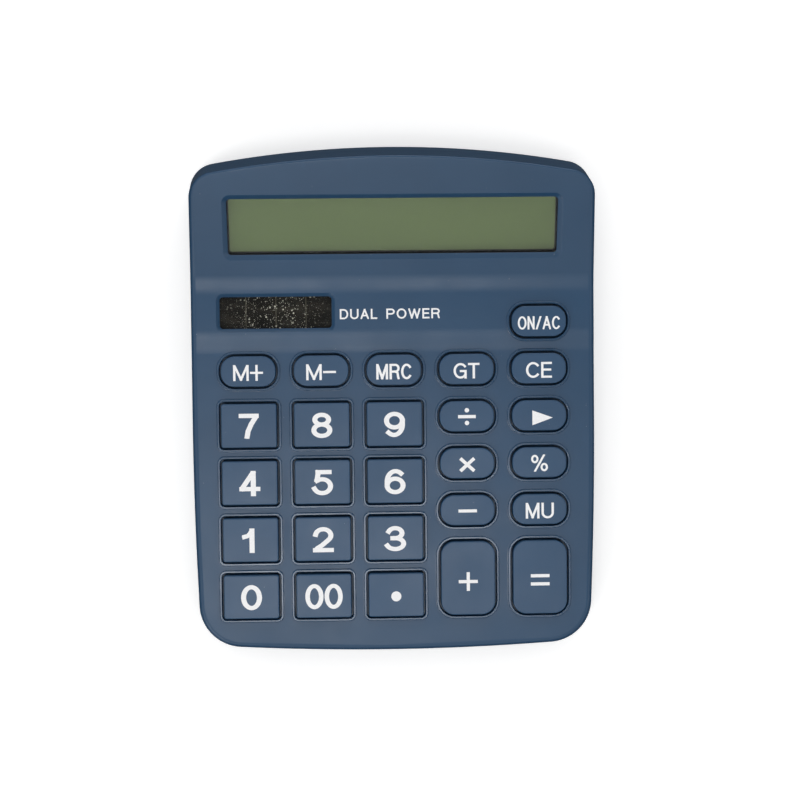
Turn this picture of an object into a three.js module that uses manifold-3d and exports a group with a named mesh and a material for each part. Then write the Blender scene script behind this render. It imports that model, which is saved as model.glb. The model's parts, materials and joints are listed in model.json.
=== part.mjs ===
// A desktop calculator with 26 keys, an LCD on a raised rear face and a solar cell.
// Millimetres, +X to the right, +Y to the rear, +Z up. The origin is on the plane that the feet stand
// on, under the middle of the body.
import * as THREE from 'three';
import { mergeVertices } from 'three/addons/utils/BufferGeometryUtils.js';
import Module from 'manifold-3d';

const wasm = await Module();
wasm.setup();

// ---------------------------------------------------------------------------------------------
// Driving dimensions

const GAP = 0.3; // between pieces that lie against each other
const FAR = 200; // longer than anything here, for cutting tools
const CUT = 8; // half the height of a tool that cuts through one wall

// Plan outline of the body
const HALF_WIDTH = 60.3;
const HALF_LENGTH = 75.5;
const FRONT_HALF_WIDTH = 59.1;
const TAPER_START_Y = -6; // the sides draw in from here to the front corners
const FRONT_EDGE_RADIUS = 750;
const REAR_EDGE_RADIUS = 310;
const FRONT_CORNER_RADIUS = 13;
const REAR_CORNER_RADIUS = 8;
const OUTLINE_SEGMENTS = 3; // half the number of facets on each arc

// Side profile of the top face, from the front edge to the rear one
const FRONT_HEIGHT = 12;
const KEYPAD_SLOPE = 4; // degrees
const STEP_SLOPE = 12;
const DISPLAY_SLOPE = 20.9;
const KEYPAD_END_Y = 14.45;
const STEP_END_Y = 18.95;
const LEDGE_END_Y = 31.95;
const DISPLAY_START_Y = 35.45;

// Shells
const WALL = 2;
const TOP_WALL = 1.8;
const FLOOR_Z = 1.5;
const FLOOR = 2;
const EDGE_ROUNDING = 1.7;
const SIDE_DRAFT = 4; // degrees
const REAR_LEAN = 16; // degrees from upright
const PARTING_FRONT_Z = 6;
const PARTING_REAR_Z = 12;
const LIP_HEIGHT = 1.2;
const LIP_INSET = 2.8;
const LIP_THICKNESS = 0.9;
const INSIDE_INSET = WALL / 2; // how far the back cover's inner walls run into its sides

// Keys: places along the sloping keypad, measured from the top of the 7-8-9 row
const KEYPAD_DATUM_Y = -1.05;
const COLUMN_PITCH = 21.5;
const DIGIT_PITCH = 17;
const FUNCTION_PITCH = 14;
const FIRST_DIGIT_ROW = -6.8;
const FIRST_FUNCTION_ROW = 9.25;
const TALL_ROW = -53.1;
const POWER_ROW = 23.2;
const KEY_GAP = 0.5;
const KEY_STYLES = {
  digit: { width: 16.5, height: 13.1, radius: 0.8, segments: 1 },
  function: { width: 16.25, height: 9.15, radius: 4.05, segments: 2 },
  tall: { width: 16.25, height: 22.1, radius: 4.05, segments: 2 },
};
const KEY_RISE = 1.6;
const KEY_EDGE = 0.45; // sloped edge round a key's top
const KEY_TRAVEL = 1.2;
const RIM_WIDTH = 0.75;
const RIM_RISE = 0.45;
const FLANGE_WIDTH = 0.9;
const FLANGE = 1;
const CAP_WALL = 1.2;
const PLUNGER_RADIUS = 2;
const DOME_CLEARANCE = 0.7; // between the flange at the end of its travel and the rubber sheet
const DOME_FOOT_RADIUS = 3.6;
const DOME_WALL = 0.7;

// Depths under the keypad face
const FLANGE_TOP = -TOP_WALL - GAP;
const FLANGE_BOTTOM = FLANGE_TOP - FLANGE;
const DOME_TOP = FLANGE_BOTTOM - GAP;
const SHEET_TOP = FLANGE_BOTTOM - KEY_TRAVEL - DOME_CLEARANCE;
const SHEET = 1;
const BOARD_TOP = SHEET_TOP - SHEET - GAP;
const BOARD = 1.6;
const BOARD_BOTTOM = BOARD_TOP - BOARD;

// Circuit board and rubber sheet, along the keypad
const BOARD_HALF_WIDTH = 51.3;
const BOARD_FRONT = -65.3;
const BOARD_REAR = 30.5;
const BOARD_CORNER_RADIUS = 4;
const SHEET_INSET = { side: 1, front: 0.6, rear: 4 };
const BOARD_POST_RADIUS = 1.8;
const BOARD_PILOT_RADIUS = 0.95;
const BOARD_PILOT_DEPTH = 4;
const BOARD_HOLE_RADIUS = 1.1;
const BOARD_SCREW = { scale: 0.65, shankLength: 4.4 };
const BOARD_SCREWS = [
  [-32.25, 3.4],
  [32.25, 2.3],
  [32.25, -64.1],
];

// Display, along the display face from its lower edge
const DISPLAY_CENTRE = 15.7;
const APERTURE = { width: 96.5, height: 16.4, radius: 1 };
const APERTURE_BEVEL = 1.4;
const APERTURE_BEVEL_DEPTH = 0.7;
const DISPLAY_PART = { width: 100.6, height: 21.4, radius: 0.5 };
const WINDOW = 1.2;
const GLASS = 1.8;
const FRAME_WALL = 1.4;
const FRAME_FLOOR = 0.8;
const WINDOW_TOP = -TOP_WALL - GAP;
const WINDOW_BOTTOM = WINDOW_TOP - WINDOW;
const GLASS_TOP = WINDOW_BOTTOM - GAP;
const GLASS_BOTTOM = GLASS_TOP - GLASS;
const FRAME_BOTTOM = GLASS_BOTTOM - GAP - FRAME_FLOOR;
const RIBBON_WIDTH = 36;
const RIBBON = 0.2;

// Solar cell, on the ledge between the keypad and the display
const SOLAR_CENTRE = { x: -34.7, y: 26.4 };
const SOLAR_APERTURE = { width: 33, height: 9.3, radius: 1 };
const SOLAR_BEVEL = 1.05;
const SOLAR_BEVEL_DEPTH = 0.6;
const SOLAR_PART = { width: 35.6, height: 11.9, radius: 0.4 };
const SOLAR_WINDOW = 0.9;
const SOLAR_CELL = 1.2;
const SOLAR_WINDOW_BOTTOM = WINDOW_TOP - SOLAR_WINDOW;
const SOLAR_CELL_TOP = SOLAR_WINDOW_BOTTOM - GAP;
const SOLAR_CELL_BOTTOM = SOLAR_CELL_TOP - SOLAR_CELL;
const SOLAR_WIRES = { black: -40, red: -29.5 };

// Battery: one AA cell lying across the body
const CELL_RADIUS = 7.1;
const CELL_LENGTH = 50.3;
const CELL_X = 2.8; // the spring takes up the room at the negative end
const CELL_Y = 60;
const CELL_Z = 11;
const CELL_NUB = { radius: 2.7, height: 1.4 };
const SPRING_LENGTH = 4.8;
const SPRING_TURNS = 4;
const SPRING_RADII = { wide: 4.6, narrow: 2.6 };
const SPRING_WIRE_RADIUS = 0.35;
const CONTACT = 0.4;
const CONTACT_HALF_HEIGHT = 6;
const CONTACT_HALF_WIDTH = 6.5;
const TAB_HALF_HEIGHT = 1.5;
const TAB_REACH = 1.6; // how far a contact's tab stands out of the bay
const BAY_HALF_LENGTH = 29.2;
const BAY_HALF_WIDTH = 7.8;
const BAY_WALL = 1.3;
const BAY_ROOF_Z = 18.4;
const BAY_ROOF = 1;
const WIRE_RADIUS = 0.55;
const WIRE_PAD_X = 38;
const WIRE_PAD_Y = 22;

// Battery door
const DOOR_HALF_WIDTH = 30.5;
const DOOR_FRONT_Y = 50.2;
const DOOR = 1.6;
const TONGUE = 1.1;
const TONGUE_THICKNESS = 0.6;
const TONGUE_END_Y = 70;
const RAIL = 2.4;
const RAIL_ROOF = 1.4;
const GRIP = { count: 4, halfLength: 6, width: 0.9, depth: 0.5, pitch: 1.8, lastY: 66 };

// Feet and screws
const FOOT_RADIUS = 5;
const FOOT_RECESS = 0.8;
const FEET = [
  [-48, -57],
  [48, -57],
  [-48, 45],
  [48, 45],
];
const CASE_SCREWS = [
  [-47, -69.9],
  [47, -69.9],
  [-55, 15.2],
  [55, 15.2],
  [-54.7, 57.5],
  [54.7, 57.5],
];
const POST_RADIUS = 2.7;
const BOSS_RADIUS = 3.45;
const BOSS_DROP = 1; // from the parting line down to a boss's top
const BOSS_SEAT = 1.8; // between a screw's head and the boss's top
const PILOT_DEPTH = 6;
const HEAD_RADIUS = 2.2;
const HEAD_HEIGHT = 1.1;
const SHANK_RADIUS = 1;
const SHANK_LENGTH = 7;
const CROSS_HALF_WIDTH = 0.22;

// ---------------------------------------------------------------------------------------------
// Materials

const material = (color, roughness, metalness = 0, opacity = 1) => {
  const transparent = opacity < 1;
  return new THREE.MeshStandardMaterial({ color, roughness, metalness, opacity, transparent });
};
const SHELL_BLUE = material(0x3e5066, 0.5);
const KEY_BLUE = material(0x4e5f77, 0.45);
const CLEAR = material(0xdfe5e2, 0.08, 0, 0.35);
const LCD_GREEN = material(0x6f7a5e, 0.3);
const SOLAR_BLACK = material(0x1b1a18, 0.2);
const RUBBER_GREY = material(0xb9bcbb, 0.8);
const RUBBER_BLACK = material(0x1d1d1f, 0.9);
const BOARD_GREEN = material(0x2c5a36, 0.55);
const EPOXY_BLACK = material(0x111112, 0.4);
const STEEL = material(0xa9adb0, 0.35, 0.9);
const BRASS = material(0xb08d4a, 0.35, 0.9);
const CELL_WRAP = material(0x3b3d42, 0.35, 0.3);
const RIBBON_TAN = material(0xa98a55, 0.5);
const WIRE_RED = material(0xa11d1d, 0.5);
const WIRE_BLACK = material(0x17171a, 0.5);
const FRAME_WHITE = material(0xd8d8d2, 0.6);

// ---------------------------------------------------------------------------------------------
// Geometry helpers

const radians = THREE.MathUtils.degToRad;
const rise = (degrees) => Math.tan(radians(degrees));

// A closed geometry as a manifold solid, and back again.
function solidOf(geometry) {
  const plain = geometry.clone();
  plain.deleteAttribute('normal');
  plain.deleteAttribute('uv');
  const merged = mergeVertices(plain, 1e-4);
  const vertProperties = merged.getAttribute('position').array;
  const triVerts = Uint32Array.from(merged.index.array);
  return new wasm.Manifold(new wasm.Mesh({ numProp: 3, vertProperties, triVerts }));
}

function geometryOf(solid) {
  const mesh = solid.getMesh();
  const geometry = new THREE.BufferGeometry();
  geometry.setAttribute('position', new THREE.BufferAttribute(mesh.vertProperties, 3));
  geometry.setIndex(new THREE.BufferAttribute(mesh.triVerts, 1));
  const faceted = geometry.toNonIndexed();
  faceted.computeVertexNormals();
  return faceted;
}

const joined = (solids) => solids.reduce((sum, next) => sum.add(next));

// A rectangle with rounded corners, centred on the origin.
function roundedRectangle({ width, height, radius }, grow = 0) {
  const x = width / 2 + grow;
  const y = height / 2 + grow;
  const r = Math.max(radius + grow, 0.05);
  const shape = new THREE.Shape();
  shape.absarc(x - r, y - r, r, 0, Math.PI / 2);
  shape.absarc(r - x, y - r, r, Math.PI / 2, Math.PI);
  shape.absarc(r - x, r - y, r, Math.PI, 1.5 * Math.PI);
  shape.absarc(x - r, r - y, r, 1.5 * Math.PI, 2 * Math.PI);
  return shape;
}

// A flat shape made solid from z = bottom to z = top.
function plate(shape, bottom, top, curveSegments = 4) {
  const geometry = new THREE.ExtrudeGeometry(shape, {
    depth: top - bottom,
    bevelEnabled: false,
    curveSegments,
  });
  return geometry.translate(0, 0, bottom);
}

// A block between two corners.
function block([x0, y0, z0], [x1, y1, z1]) {
  const geometry = new THREE.BoxGeometry(x1 - x0, y1 - y0, z1 - z0);
  return geometry.translate((x0 + x1) / 2, (y0 + y1) / 2, (z0 + z1) / 2);
}

// An upright cylinder from z = bottom to z = top.
function post(x, y, radius, bottom, top, sides = 8) {
  const geometry = new THREE.CylinderGeometry(radius, radius, top - bottom, sides);
  return geometry.rotateX(Math.PI / 2).translate(x, y, (bottom + top) / 2);
}

// A profile of [radius, height] points, turned about the upright axis.
function turned(profile, sides) {
  const points = profile.map(([radius, height]) => new THREE.Vector2(radius, height));
  return new THREE.LatheGeometry(points, sides).rotateX(Math.PI / 2);
}

// A six-sided wire along a smooth curve through the given points.
function wire(points, radius, steps) {
  const section = new THREE.Shape();
  section.absarc(0, 0, radius, 0, 2 * Math.PI);
  const path = new THREE.CatmullRomCurve3(points.map((p) => new THREE.Vector3(...p)));
  return new THREE.ExtrudeGeometry(section, { steps, curveSegments: 3, extrudePath: path });
}

// ---------------------------------------------------------------------------------------------
// The top face and the frames that lie on it

const PANEL = [
  { start: -HALF_LENGTH, slope: KEYPAD_SLOPE },
  { start: KEYPAD_END_Y, slope: STEP_SLOPE },
  { start: STEP_END_Y, slope: KEYPAD_SLOPE },
  { start: LEDGE_END_Y, slope: STEP_SLOPE },
  { start: DISPLAY_START_Y, slope: DISPLAY_SLOPE },
];

// Height of the top face at y, before its edges are rounded.
function panelHeight(y) {
  return PANEL.reduce((height, { start, slope }, i) => {
    const end = PANEL[i + 1]?.start ?? FAR;
    return height + Math.max(0, Math.min(y, end) - start) * rise(slope);
  }, FRONT_HEIGHT);
}

const partingHeight = (y) => {
  const along = (y + HALF_LENGTH) / (2 * HALF_LENGTH);
  return THREE.MathUtils.lerp(PARTING_FRONT_Z, PARTING_REAR_Z, along);
};

// A frame lying on the top face: x across, y up the slope, z out of the face.
function faceFrame(x, y, slope) {
  const frame = new THREE.Matrix4().makeRotationX(radians(slope));
  return frame.setPosition(x, y, panelHeight(y));
}

const KEYPAD = faceFrame(0, KEYPAD_DATUM_Y, KEYPAD_SLOPE);
const DISPLAY = faceFrame(0, DISPLAY_START_Y, DISPLAY_SLOPE);
const SOLAR = faceFrame(SOLAR_CENTRE.x, SOLAR_CENTRE.y + KEYPAD_DATUM_Y, KEYPAD_SLOPE);

// How far the ledge stands above the plane of the keypad.
const LEDGE_RISE = new THREE.Vector3(0, SOLAR.elements[13], SOLAR.elements[14])
  .applyMatrix4(KEYPAD.clone().invert()).z;

// ---------------------------------------------------------------------------------------------
// Body blanks

// The plan outline: two shallow arcs front and rear, four rounded corners and slightly drawn-in sides.
function bodyOutline() {
  const shape = new THREE.Shape();
  const frontX = FRONT_HALF_WIDTH - FRONT_CORNER_RADIUS;
  const frontCentreY = FRONT_EDGE_RADIUS - HALF_LENGTH;
  const frontY = frontCentreY - Math.sqrt((FRONT_EDGE_RADIUS - FRONT_CORNER_RADIUS) ** 2 - frontX ** 2);
  const frontAngle = Math.atan2(frontY - frontCentreY, frontX);
  const rearX = HALF_WIDTH - REAR_CORNER_RADIUS;
  const rearCentreY = HALF_LENGTH - REAR_EDGE_RADIUS;
  const rearY = rearCentreY + Math.sqrt((REAR_EDGE_RADIUS - REAR_CORNER_RADIUS) ** 2 - rearX ** 2);
  const rearAngle = Math.atan2(rearY - rearCentreY, rearX);
  const taperControlY = (TAPER_START_Y + frontY) / 2;

  shape.absarc(frontX, frontY, FRONT_CORNER_RADIUS, frontAngle, 0);
  shape.quadraticCurveTo(HALF_WIDTH, taperControlY, HALF_WIDTH, TAPER_START_Y);
  shape.absarc(rearX, rearY, REAR_CORNER_RADIUS, 0, rearAngle);
  shape.absarc(0, rearCentreY, REAR_EDGE_RADIUS, rearAngle, Math.PI - rearAngle);
  shape.absarc(-rearX, rearY, REAR_CORNER_RADIUS, Math.PI - rearAngle, Math.PI);
  shape.lineTo(-HALF_WIDTH, TAPER_START_Y);
  shape.quadraticCurveTo(-HALF_WIDTH, taperControlY, -FRONT_HALF_WIDTH, frontY);
  shape.absarc(-frontX, frontY, FRONT_CORNER_RADIUS, Math.PI, Math.PI - frontAngle);
  shape.absarc(0, frontCentreY, FRONT_EDGE_RADIUS, Math.PI - frontAngle, 2 * Math.PI + frontAngle);
  return shape;
}

const OUTLINE = bodyOutline();

// The outline drawn in by inset and made solid from z = bottom to z = top, its ends rounded by edge.
function slab(inset, bottom, top, edge = 0) {
  const geometry = new THREE.ExtrudeGeometry(OUTLINE, {
    depth: top - bottom - 2 * edge,
    bevelThickness: edge,
    bevelSize: edge,
    bevelOffset: -edge - inset,
    bevelSegments: edge ? 2 : 1,
    curveSegments: OUTLINE_SEGMENTS,
  });
  return geometry.translate(0, 0, bottom + edge);
}

// The top face is the envelope of five tilted slabs. It bends upwards where two of them are joined, and
// downwards only where the step meets the ledge.
function slopedSlab(inset, drop, edge) {
  const flat = slab(inset, -FAR / 2, -drop, edge);
  const [keypad, step, ledge, bend, display] = PANEL.map(({ start, slope }) => {
    const shear = new THREE.Matrix4().makeShear(0, 0, 0, rise(slope), 0, 0);
    const lift = panelHeight(start) - start * rise(slope);
    return solidOf(flat.clone().applyMatrix4(shear).translate(0, 0, lift));
  });
  return joined([keypad, step.intersect(ledge), bend, display]);
}

// Draws the sides in as they rise above the parting line.
function withDraft(geometry) {
  const position = geometry.getAttribute('position');
  for (let i = 0; i < position.count; i++) {
    const above = position.getZ(i) - partingHeight(position.getY(i));
    position.setX(i, position.getX(i) * (1 - (above * rise(SIDE_DRAFT)) / HALF_WIDTH));
  }
  return geometry;
}

// The body above the parting line as one solid, drawn in by inset and lowered by drop. Its rear wall
// leans forward.
function upperBlank(inset, drop, edge = 0) {
  const leaning = slab(inset, -PARTING_REAR_Z, FAR / 2)
    .applyMatrix4(new THREE.Matrix4().makeShear(0, 0, 0, 0, 0, -rise(REAR_LEAN)))
    .translate(0, 0, PARTING_REAR_Z);
  const frontHalf = block([-FAR, -FAR, -FAR], [FAR, 0, FAR]);
  const sloped = solidOf(withDraft(geometryOf(slopedSlab(inset, drop, edge))));
  return sloped.intersect(solidOf(leaning).add(solidOf(frontHalf)));
}

// Everything above the parting plane, moved up by raised.
function abovePartingPlane(raised) {
  const slope = Math.atan2(PARTING_REAR_Z - PARTING_FRONT_Z, 2 * HALF_LENGTH);
  const half = block([-FAR, -FAR, 0], [FAR, FAR, FAR]).rotateX(slope);
  return solidOf(half.translate(0, 0, partingHeight(0) + raised));
}

// ---------------------------------------------------------------------------------------------
// Keys

const row = (names, start, y, kind) =>
  names.map((name, i) => ({ name: `key_${name}`, x: (start + i - 2) * COLUMN_PITCH, y, kind }));

const digitRow = (names, index) =>
  row(names, 0, FIRST_DIGIT_ROW - index * DIGIT_PITCH, 'digit');
const functionRow = (names, start, index) =>
  row(names, start, FIRST_FUNCTION_ROW - index * FUNCTION_PITCH, 'function');

const KEYS = [
  ...functionRow(['m_plus', 'm_minus', 'mrc', 'gt', 'ce'], 0, 0),
  ...functionRow(['divide', 'backspace'], 3, 1),
  ...functionRow(['times', 'percent'], 3, 2),
  ...functionRow(['minus', 'mu'], 3, 3),
  ...row(['plus', 'equals'], 3, TALL_ROW, 'tall'),
  ...digitRow(['7', '8', '9'], 0),
  ...digitRow(['4', '5', '6'], 1),
  ...digitRow(['1', '2', '3'], 2),
  ...digitRow(['0', '00', 'point'], 3),
  { ...row(['on_ac'], 4, POWER_ROW, 'function')[0], raised: LEDGE_RISE },
];

// The place of a key's top face on the keypad.
const atKey = ({ x, y, raised = 0 }) =>
  KEYPAD.clone().multiply(new THREE.Matrix4().makeTranslation(x, y, raised));

// A cap with a sloped edge, a flange that stops it from lifting out, and a hollow underside with a
// plunger that rests over its rubber dome.
function keyCap({ kind, raised = 0 }) {
  const style = KEY_STYLES[kind];
  const bottom = FLANGE_BOTTOM - raised;
  const flangeTop = FLANGE_TOP - raised;
  const cap = new THREE.ExtrudeGeometry(roundedRectangle(style), {
    depth: KEY_RISE - flangeTop,
    bevelThickness: KEY_EDGE,
    bevelSize: KEY_EDGE,
    bevelOffset: -KEY_EDGE,
    bevelSegments: 1,
    curveSegments: style.segments,
  }).translate(0, 0, flangeTop - KEY_EDGE);
  const flange = plate(roundedRectangle(style, KEY_GAP + FLANGE_WIDTH), bottom, flangeTop, 1);
  const pocket = plate(roundedRectangle(style, -CAP_WALL), bottom - 1, KEY_RISE - CAP_WALL, 1);
  const plunger = post(0, 0, PLUNGER_RADIUS, bottom, KEY_RISE - CAP_WALL / 2, 8);
  return solidOf(cap)
    .add(solidOf(flange))
    .subtract(solidOf(pocket))
    .add(solidOf(plunger));
}

const keyOpening = (key) => {
  const style = KEY_STYLES[key.kind];
  return plate(roundedRectangle(style, KEY_GAP), -CUT, CUT, style.segments).applyMatrix4(atKey(key));
};

const keyRim = (key) => {
  const style = KEY_STYLES[key.kind];
  const outer = roundedRectangle(style, KEY_GAP + RIM_WIDTH);
  return plate(outer, -TOP_WALL / 2, RIM_RISE, style.segments).applyMatrix4(atKey(key));
};

// ---------------------------------------------------------------------------------------------
// Front cover

// Cuts a window through the top face, with a sloping bevel round its mouth.
function windowCut(aperture, bevel, depth, frame) {
  const funnel = new THREE.ExtrudeGeometry(roundedRectangle(aperture), {
    depth: CUT,
    bevelThickness: depth,
    bevelSize: bevel,
    bevelSegments: 1,
    curveSegments: 1,
  });
  const through = plate(roundedRectangle(aperture), -CUT, CUT, 1);
  return solidOf(funnel).add(solidOf(through)).translate(frame.offset).transform(frame.matrix.elements);
}

const bossTop = (y) => partingHeight(y) - BOSS_DROP;

function frontCover() {
  const posts = CASE_SCREWS.map(([x, y]) => post(x, y, POST_RADIUS, bossTop(y) + GAP, FAR));
  const boardPosts = BOARD_SCREWS.map(([x, y]) =>
    post(x, y, BOARD_POST_RADIUS, BOARD_TOP + GAP, CUT).applyMatrix4(KEYPAD));
  const cavity = upperBlank(WALL, TOP_WALL)
    .subtract(joined([...posts, ...boardPosts].map(solidOf)));
  const pilots = CASE_SCREWS.map(([x, y]) =>
    post(x, y, SHANK_RADIUS + GAP, 0, bossTop(y) + PILOT_DEPTH));
  const boardPilots = BOARD_SCREWS.map(([x, y]) =>
    post(x, y, BOARD_PILOT_RADIUS, -CUT, BOARD_TOP + BOARD_PILOT_DEPTH, 6).applyMatrix4(KEYPAD));
  const display = windowCut(APERTURE, APERTURE_BEVEL, APERTURE_BEVEL_DEPTH, {
    matrix: DISPLAY,
    offset: [0, DISPLAY_CENTRE, 0],
  });
  const solar = windowCut(SOLAR_APERTURE, SOLAR_BEVEL, SOLAR_BEVEL_DEPTH, {
    matrix: SOLAR,
    offset: [0, 0, 0],
  });
  return upperBlank(0, 0, EDGE_ROUNDING)
    .intersect(abovePartingPlane(GAP / 2))
    .add(joined(KEYS.map((key) => solidOf(keyRim(key)))))
    .subtract(cavity)
    .subtract(joined(KEYS.map((key) => solidOf(keyOpening(key)))))
    .subtract(joined([...pilots, ...boardPilots].map(solidOf)))
    .subtract(display)
    .subtract(solar);
}

// ---------------------------------------------------------------------------------------------
// Back cover and battery door

const lowerBlank = () =>
  solidOf(slab(0, FLOOR_Z, FAR / 2, EDGE_ROUNDING)).subtract(abovePartingPlane(-GAP / 2));

// A low wall inside the parting line that the front cover drops over, cut away round its screw posts.
function lip() {
  const outer = solidOf(slab(LIP_INSET, FLOOR_Z + FLOOR / 2, FAR / 2));
  const inner = solidOf(slab(LIP_INSET + LIP_THICKNESS, 0, FAR));
  const posts = CASE_SCREWS.map(([x, y]) => post(x, y, POST_RADIUS + GAP, bossTop(y), FAR));
  return outer
    .subtract(inner)
    .subtract(abovePartingPlane(LIP_HEIGHT))
    .subtract(joined(posts.map(solidOf)));
}

// The room that the battery door slides in: a slot in the floor, open to the rear, with a groove
// along each side for the door's tongues.
function doorSlot() {
  const x = DOOR_HALF_WIDTH + GAP;
  const y = DOOR_FRONT_Y - GAP;
  const grooveBottom = FLOOR_Z + DOOR - TONGUE_THICKNESS - GAP;
  const top = FLOOR_Z + DOOR + GAP;
  const slot = solidOf(block([-x, y, 0], [x, FAR, top]));
  return slot.add(solidOf(block([-x - TONGUE, y, grooveBottom], [x + TONGUE, FAR, top])));
}

// The battery bay's walls and roof, with the room for the cell and a slot for each contact's tab.
function batteryBay() {
  const x = BAY_HALF_LENGTH;
  const front = CELL_Y - BAY_HALF_WIDTH;
  const rear = CELL_Y + BAY_HALF_WIDTH;
  const slotHalfHeight = TAB_HALF_HEIGHT + 3 * GAP;
  const slots = [-x, x].map((end) =>
    block([end - 3, front, CELL_Z - slotHalfHeight], [end + 3, front + 4, CELL_Z + slotHalfHeight]));
  return {
    walls: solidOf(block(
      [-x - BAY_WALL, front - BAY_WALL, FLOOR_Z + FLOOR / 2],
      [x + BAY_WALL, rear + BAY_WALL, BAY_ROOF_Z + BAY_ROOF],
    )),
    room: joined([block([-x, front, 0], [x, rear, BAY_ROOF_Z]), ...slots].map(solidOf)),
  };
}

// Screw bosses and the rails over the door's slot, kept inside the side walls.
function innerWalls() {
  const bottom = FLOOR_Z + FLOOR / 2;
  const bosses = CASE_SCREWS.map(([x, y]) => post(x, y, BOSS_RADIUS, bottom, bossTop(y)));
  const railX = DOOR_HALF_WIDTH + TONGUE + RAIL;
  const railTop = FLOOR_Z + DOOR + GAP + RAIL_ROOF;
  const rails = block([-railX, DOOR_FRONT_Y - RAIL, bottom], [railX, FAR, railTop]);
  return joined([...bosses, rails].map(solidOf))
    .intersect(solidOf(slab(INSIDE_INSET, bottom, FAR)))
    .subtract(abovePartingPlane(-GAP / 2));
}

function backCover() {
  const cavity = solidOf(slab(WALL, FLOOR_Z + FLOOR, FAR));
  const holes = CASE_SCREWS.flatMap(([x, y]) => [
    post(x, y, HEAD_RADIUS + GAP, 0, bossTop(y) - BOSS_SEAT, 12),
    post(x, y, SHANK_RADIUS + GAP, 0, FAR),
  ]);
  const recesses = FEET.map(([x, y]) =>
    post(x, y, FOOT_RADIUS + GAP, 0, FLOOR_Z + FOOT_RECESS, 16));
  const bay = batteryBay();
  return lowerBlank()
    .subtract(cavity)
    .add(lip())
    .add(innerWalls())
    .add(bay.walls)
    .subtract(bay.room)
    .subtract(joined([...holes, ...recesses].map(solidOf)))
    .subtract(doorSlot());
}

// The door is cut from the same blank as the back cover, so that its rear end follows the case.
function batteryDoor() {
  const top = FLOOR_Z + DOOR;
  const tongueBottom = top - TONGUE_THICKNESS;
  const body = block([-DOOR_HALF_WIDTH, DOOR_FRONT_Y, 0], [DOOR_HALF_WIDTH, FAR, top]);
  const tongueX = DOOR_HALF_WIDTH + TONGUE;
  const tongues = block([-tongueX, DOOR_FRONT_Y, tongueBottom], [tongueX, TONGUE_END_Y, top]);
  const grips = Array.from({ length: GRIP.count }, (_, i) => {
    const y = GRIP.lastY - GRIP.pitch * i;
    return block([-GRIP.halfLength, y, 0], [GRIP.halfLength, y + GRIP.width, FLOOR_Z + GRIP.depth]);
  });
  return solidOf(body)
    .add(solidOf(tongues))
    .intersect(lowerBlank())
    .subtract(joined(grips.map(solidOf)));
}

// ---------------------------------------------------------------------------------------------
// Display and solar parts, in the frame of the face that they lie under

const displayPlate = (bottom, top) =>
  plate(roundedRectangle(DISPLAY_PART), bottom, top, 1).translate(0, DISPLAY_CENTRE, 0);

const solarPlate = (bottom, top) => plate(roundedRectangle(SOLAR_PART), bottom, top, 1);

// A shallow tray that holds the glass, with a slot at the lower edge for the ribbon.
function lcdFrame() {
  const outer = plate(roundedRectangle(DISPLAY_PART, FRAME_WALL), FRAME_BOTTOM, WINDOW_TOP - GAP, 1);
  const room = plate(roundedRectangle(DISPLAY_PART, GAP), GLASS_BOTTOM - GAP, 0, 1);
  const lowerEdge = -DISPLAY_PART.height / 2;
  const slotX = RIBBON_WIDTH / 2 + 2.5;
  const slot = block([-slotX, lowerEdge - 3, -FAR], [slotX, lowerEdge + 1.6, GLASS_BOTTOM]);
  return solidOf(outer)
    .subtract(joined([room, slot].map(solidOf)))
    .translate([0, DISPLAY_CENTRE, 0]);
}

// The flexible ribbon from the underside of the glass to the top of the board, as a side profile.
function lcdRibbon() {
  const glassEdge = DISPLAY_CENTRE - DISPLAY_PART.height / 2;
  const onGlass = new THREE.Vector3(0, glassEdge + 1, GLASS_BOTTOM - 0.15).applyMatrix4(DISPLAY);
  const onBoard = new THREE.Vector3(0, BOARD_REAR - 3.4, BOARD_TOP + 0.2).applyMatrix4(KEYPAD);
  const middle = onGlass.clone().lerp(onBoard, 0.5);
  const route = new THREE.CatmullRomCurve3([
    onGlass,
    new THREE.Vector3(0, onGlass.y - 1.4, onGlass.z - 0.9),
    new THREE.Vector3(0, middle.y, middle.z),
    new THREE.Vector3(0, onBoard.y + 2.6, onBoard.z + 0.25),
    onBoard,
  ]);
  const x = RIBBON_WIDTH / 2;
  const y = RIBBON / 2;
  const section = new THREE.Shape();
  section.moveTo(-x, -y);
  section.lineTo(x, -y);
  section.lineTo(x, y);
  section.lineTo(-x, y);
  return new THREE.ExtrudeGeometry(section, { steps: 8, extrudePath: route });
}

// ---------------------------------------------------------------------------------------------
// Electronics

// A plate with rounded corners that spans half a width each side, from y = front to y = rear.
function panelPlate(halfWidth, front, rear, bottom, top) {
  const shape = { width: 2 * halfWidth, height: rear - front, radius: BOARD_CORNER_RADIUS };
  return plate(roundedRectangle(shape), bottom, top, 2).translate(0, (front + rear) / 2, 0);
}

function circuitBoard() {
  const board = panelPlate(BOARD_HALF_WIDTH, BOARD_FRONT, BOARD_REAR, BOARD_BOTTOM, BOARD_TOP);
  const holes = BOARD_SCREWS.map(([x, y]) => post(x, y, BOARD_HOLE_RADIUS, -FAR, FAR));
  return solidOf(board).subtract(joined(holes.map(solidOf)));
}

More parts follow.
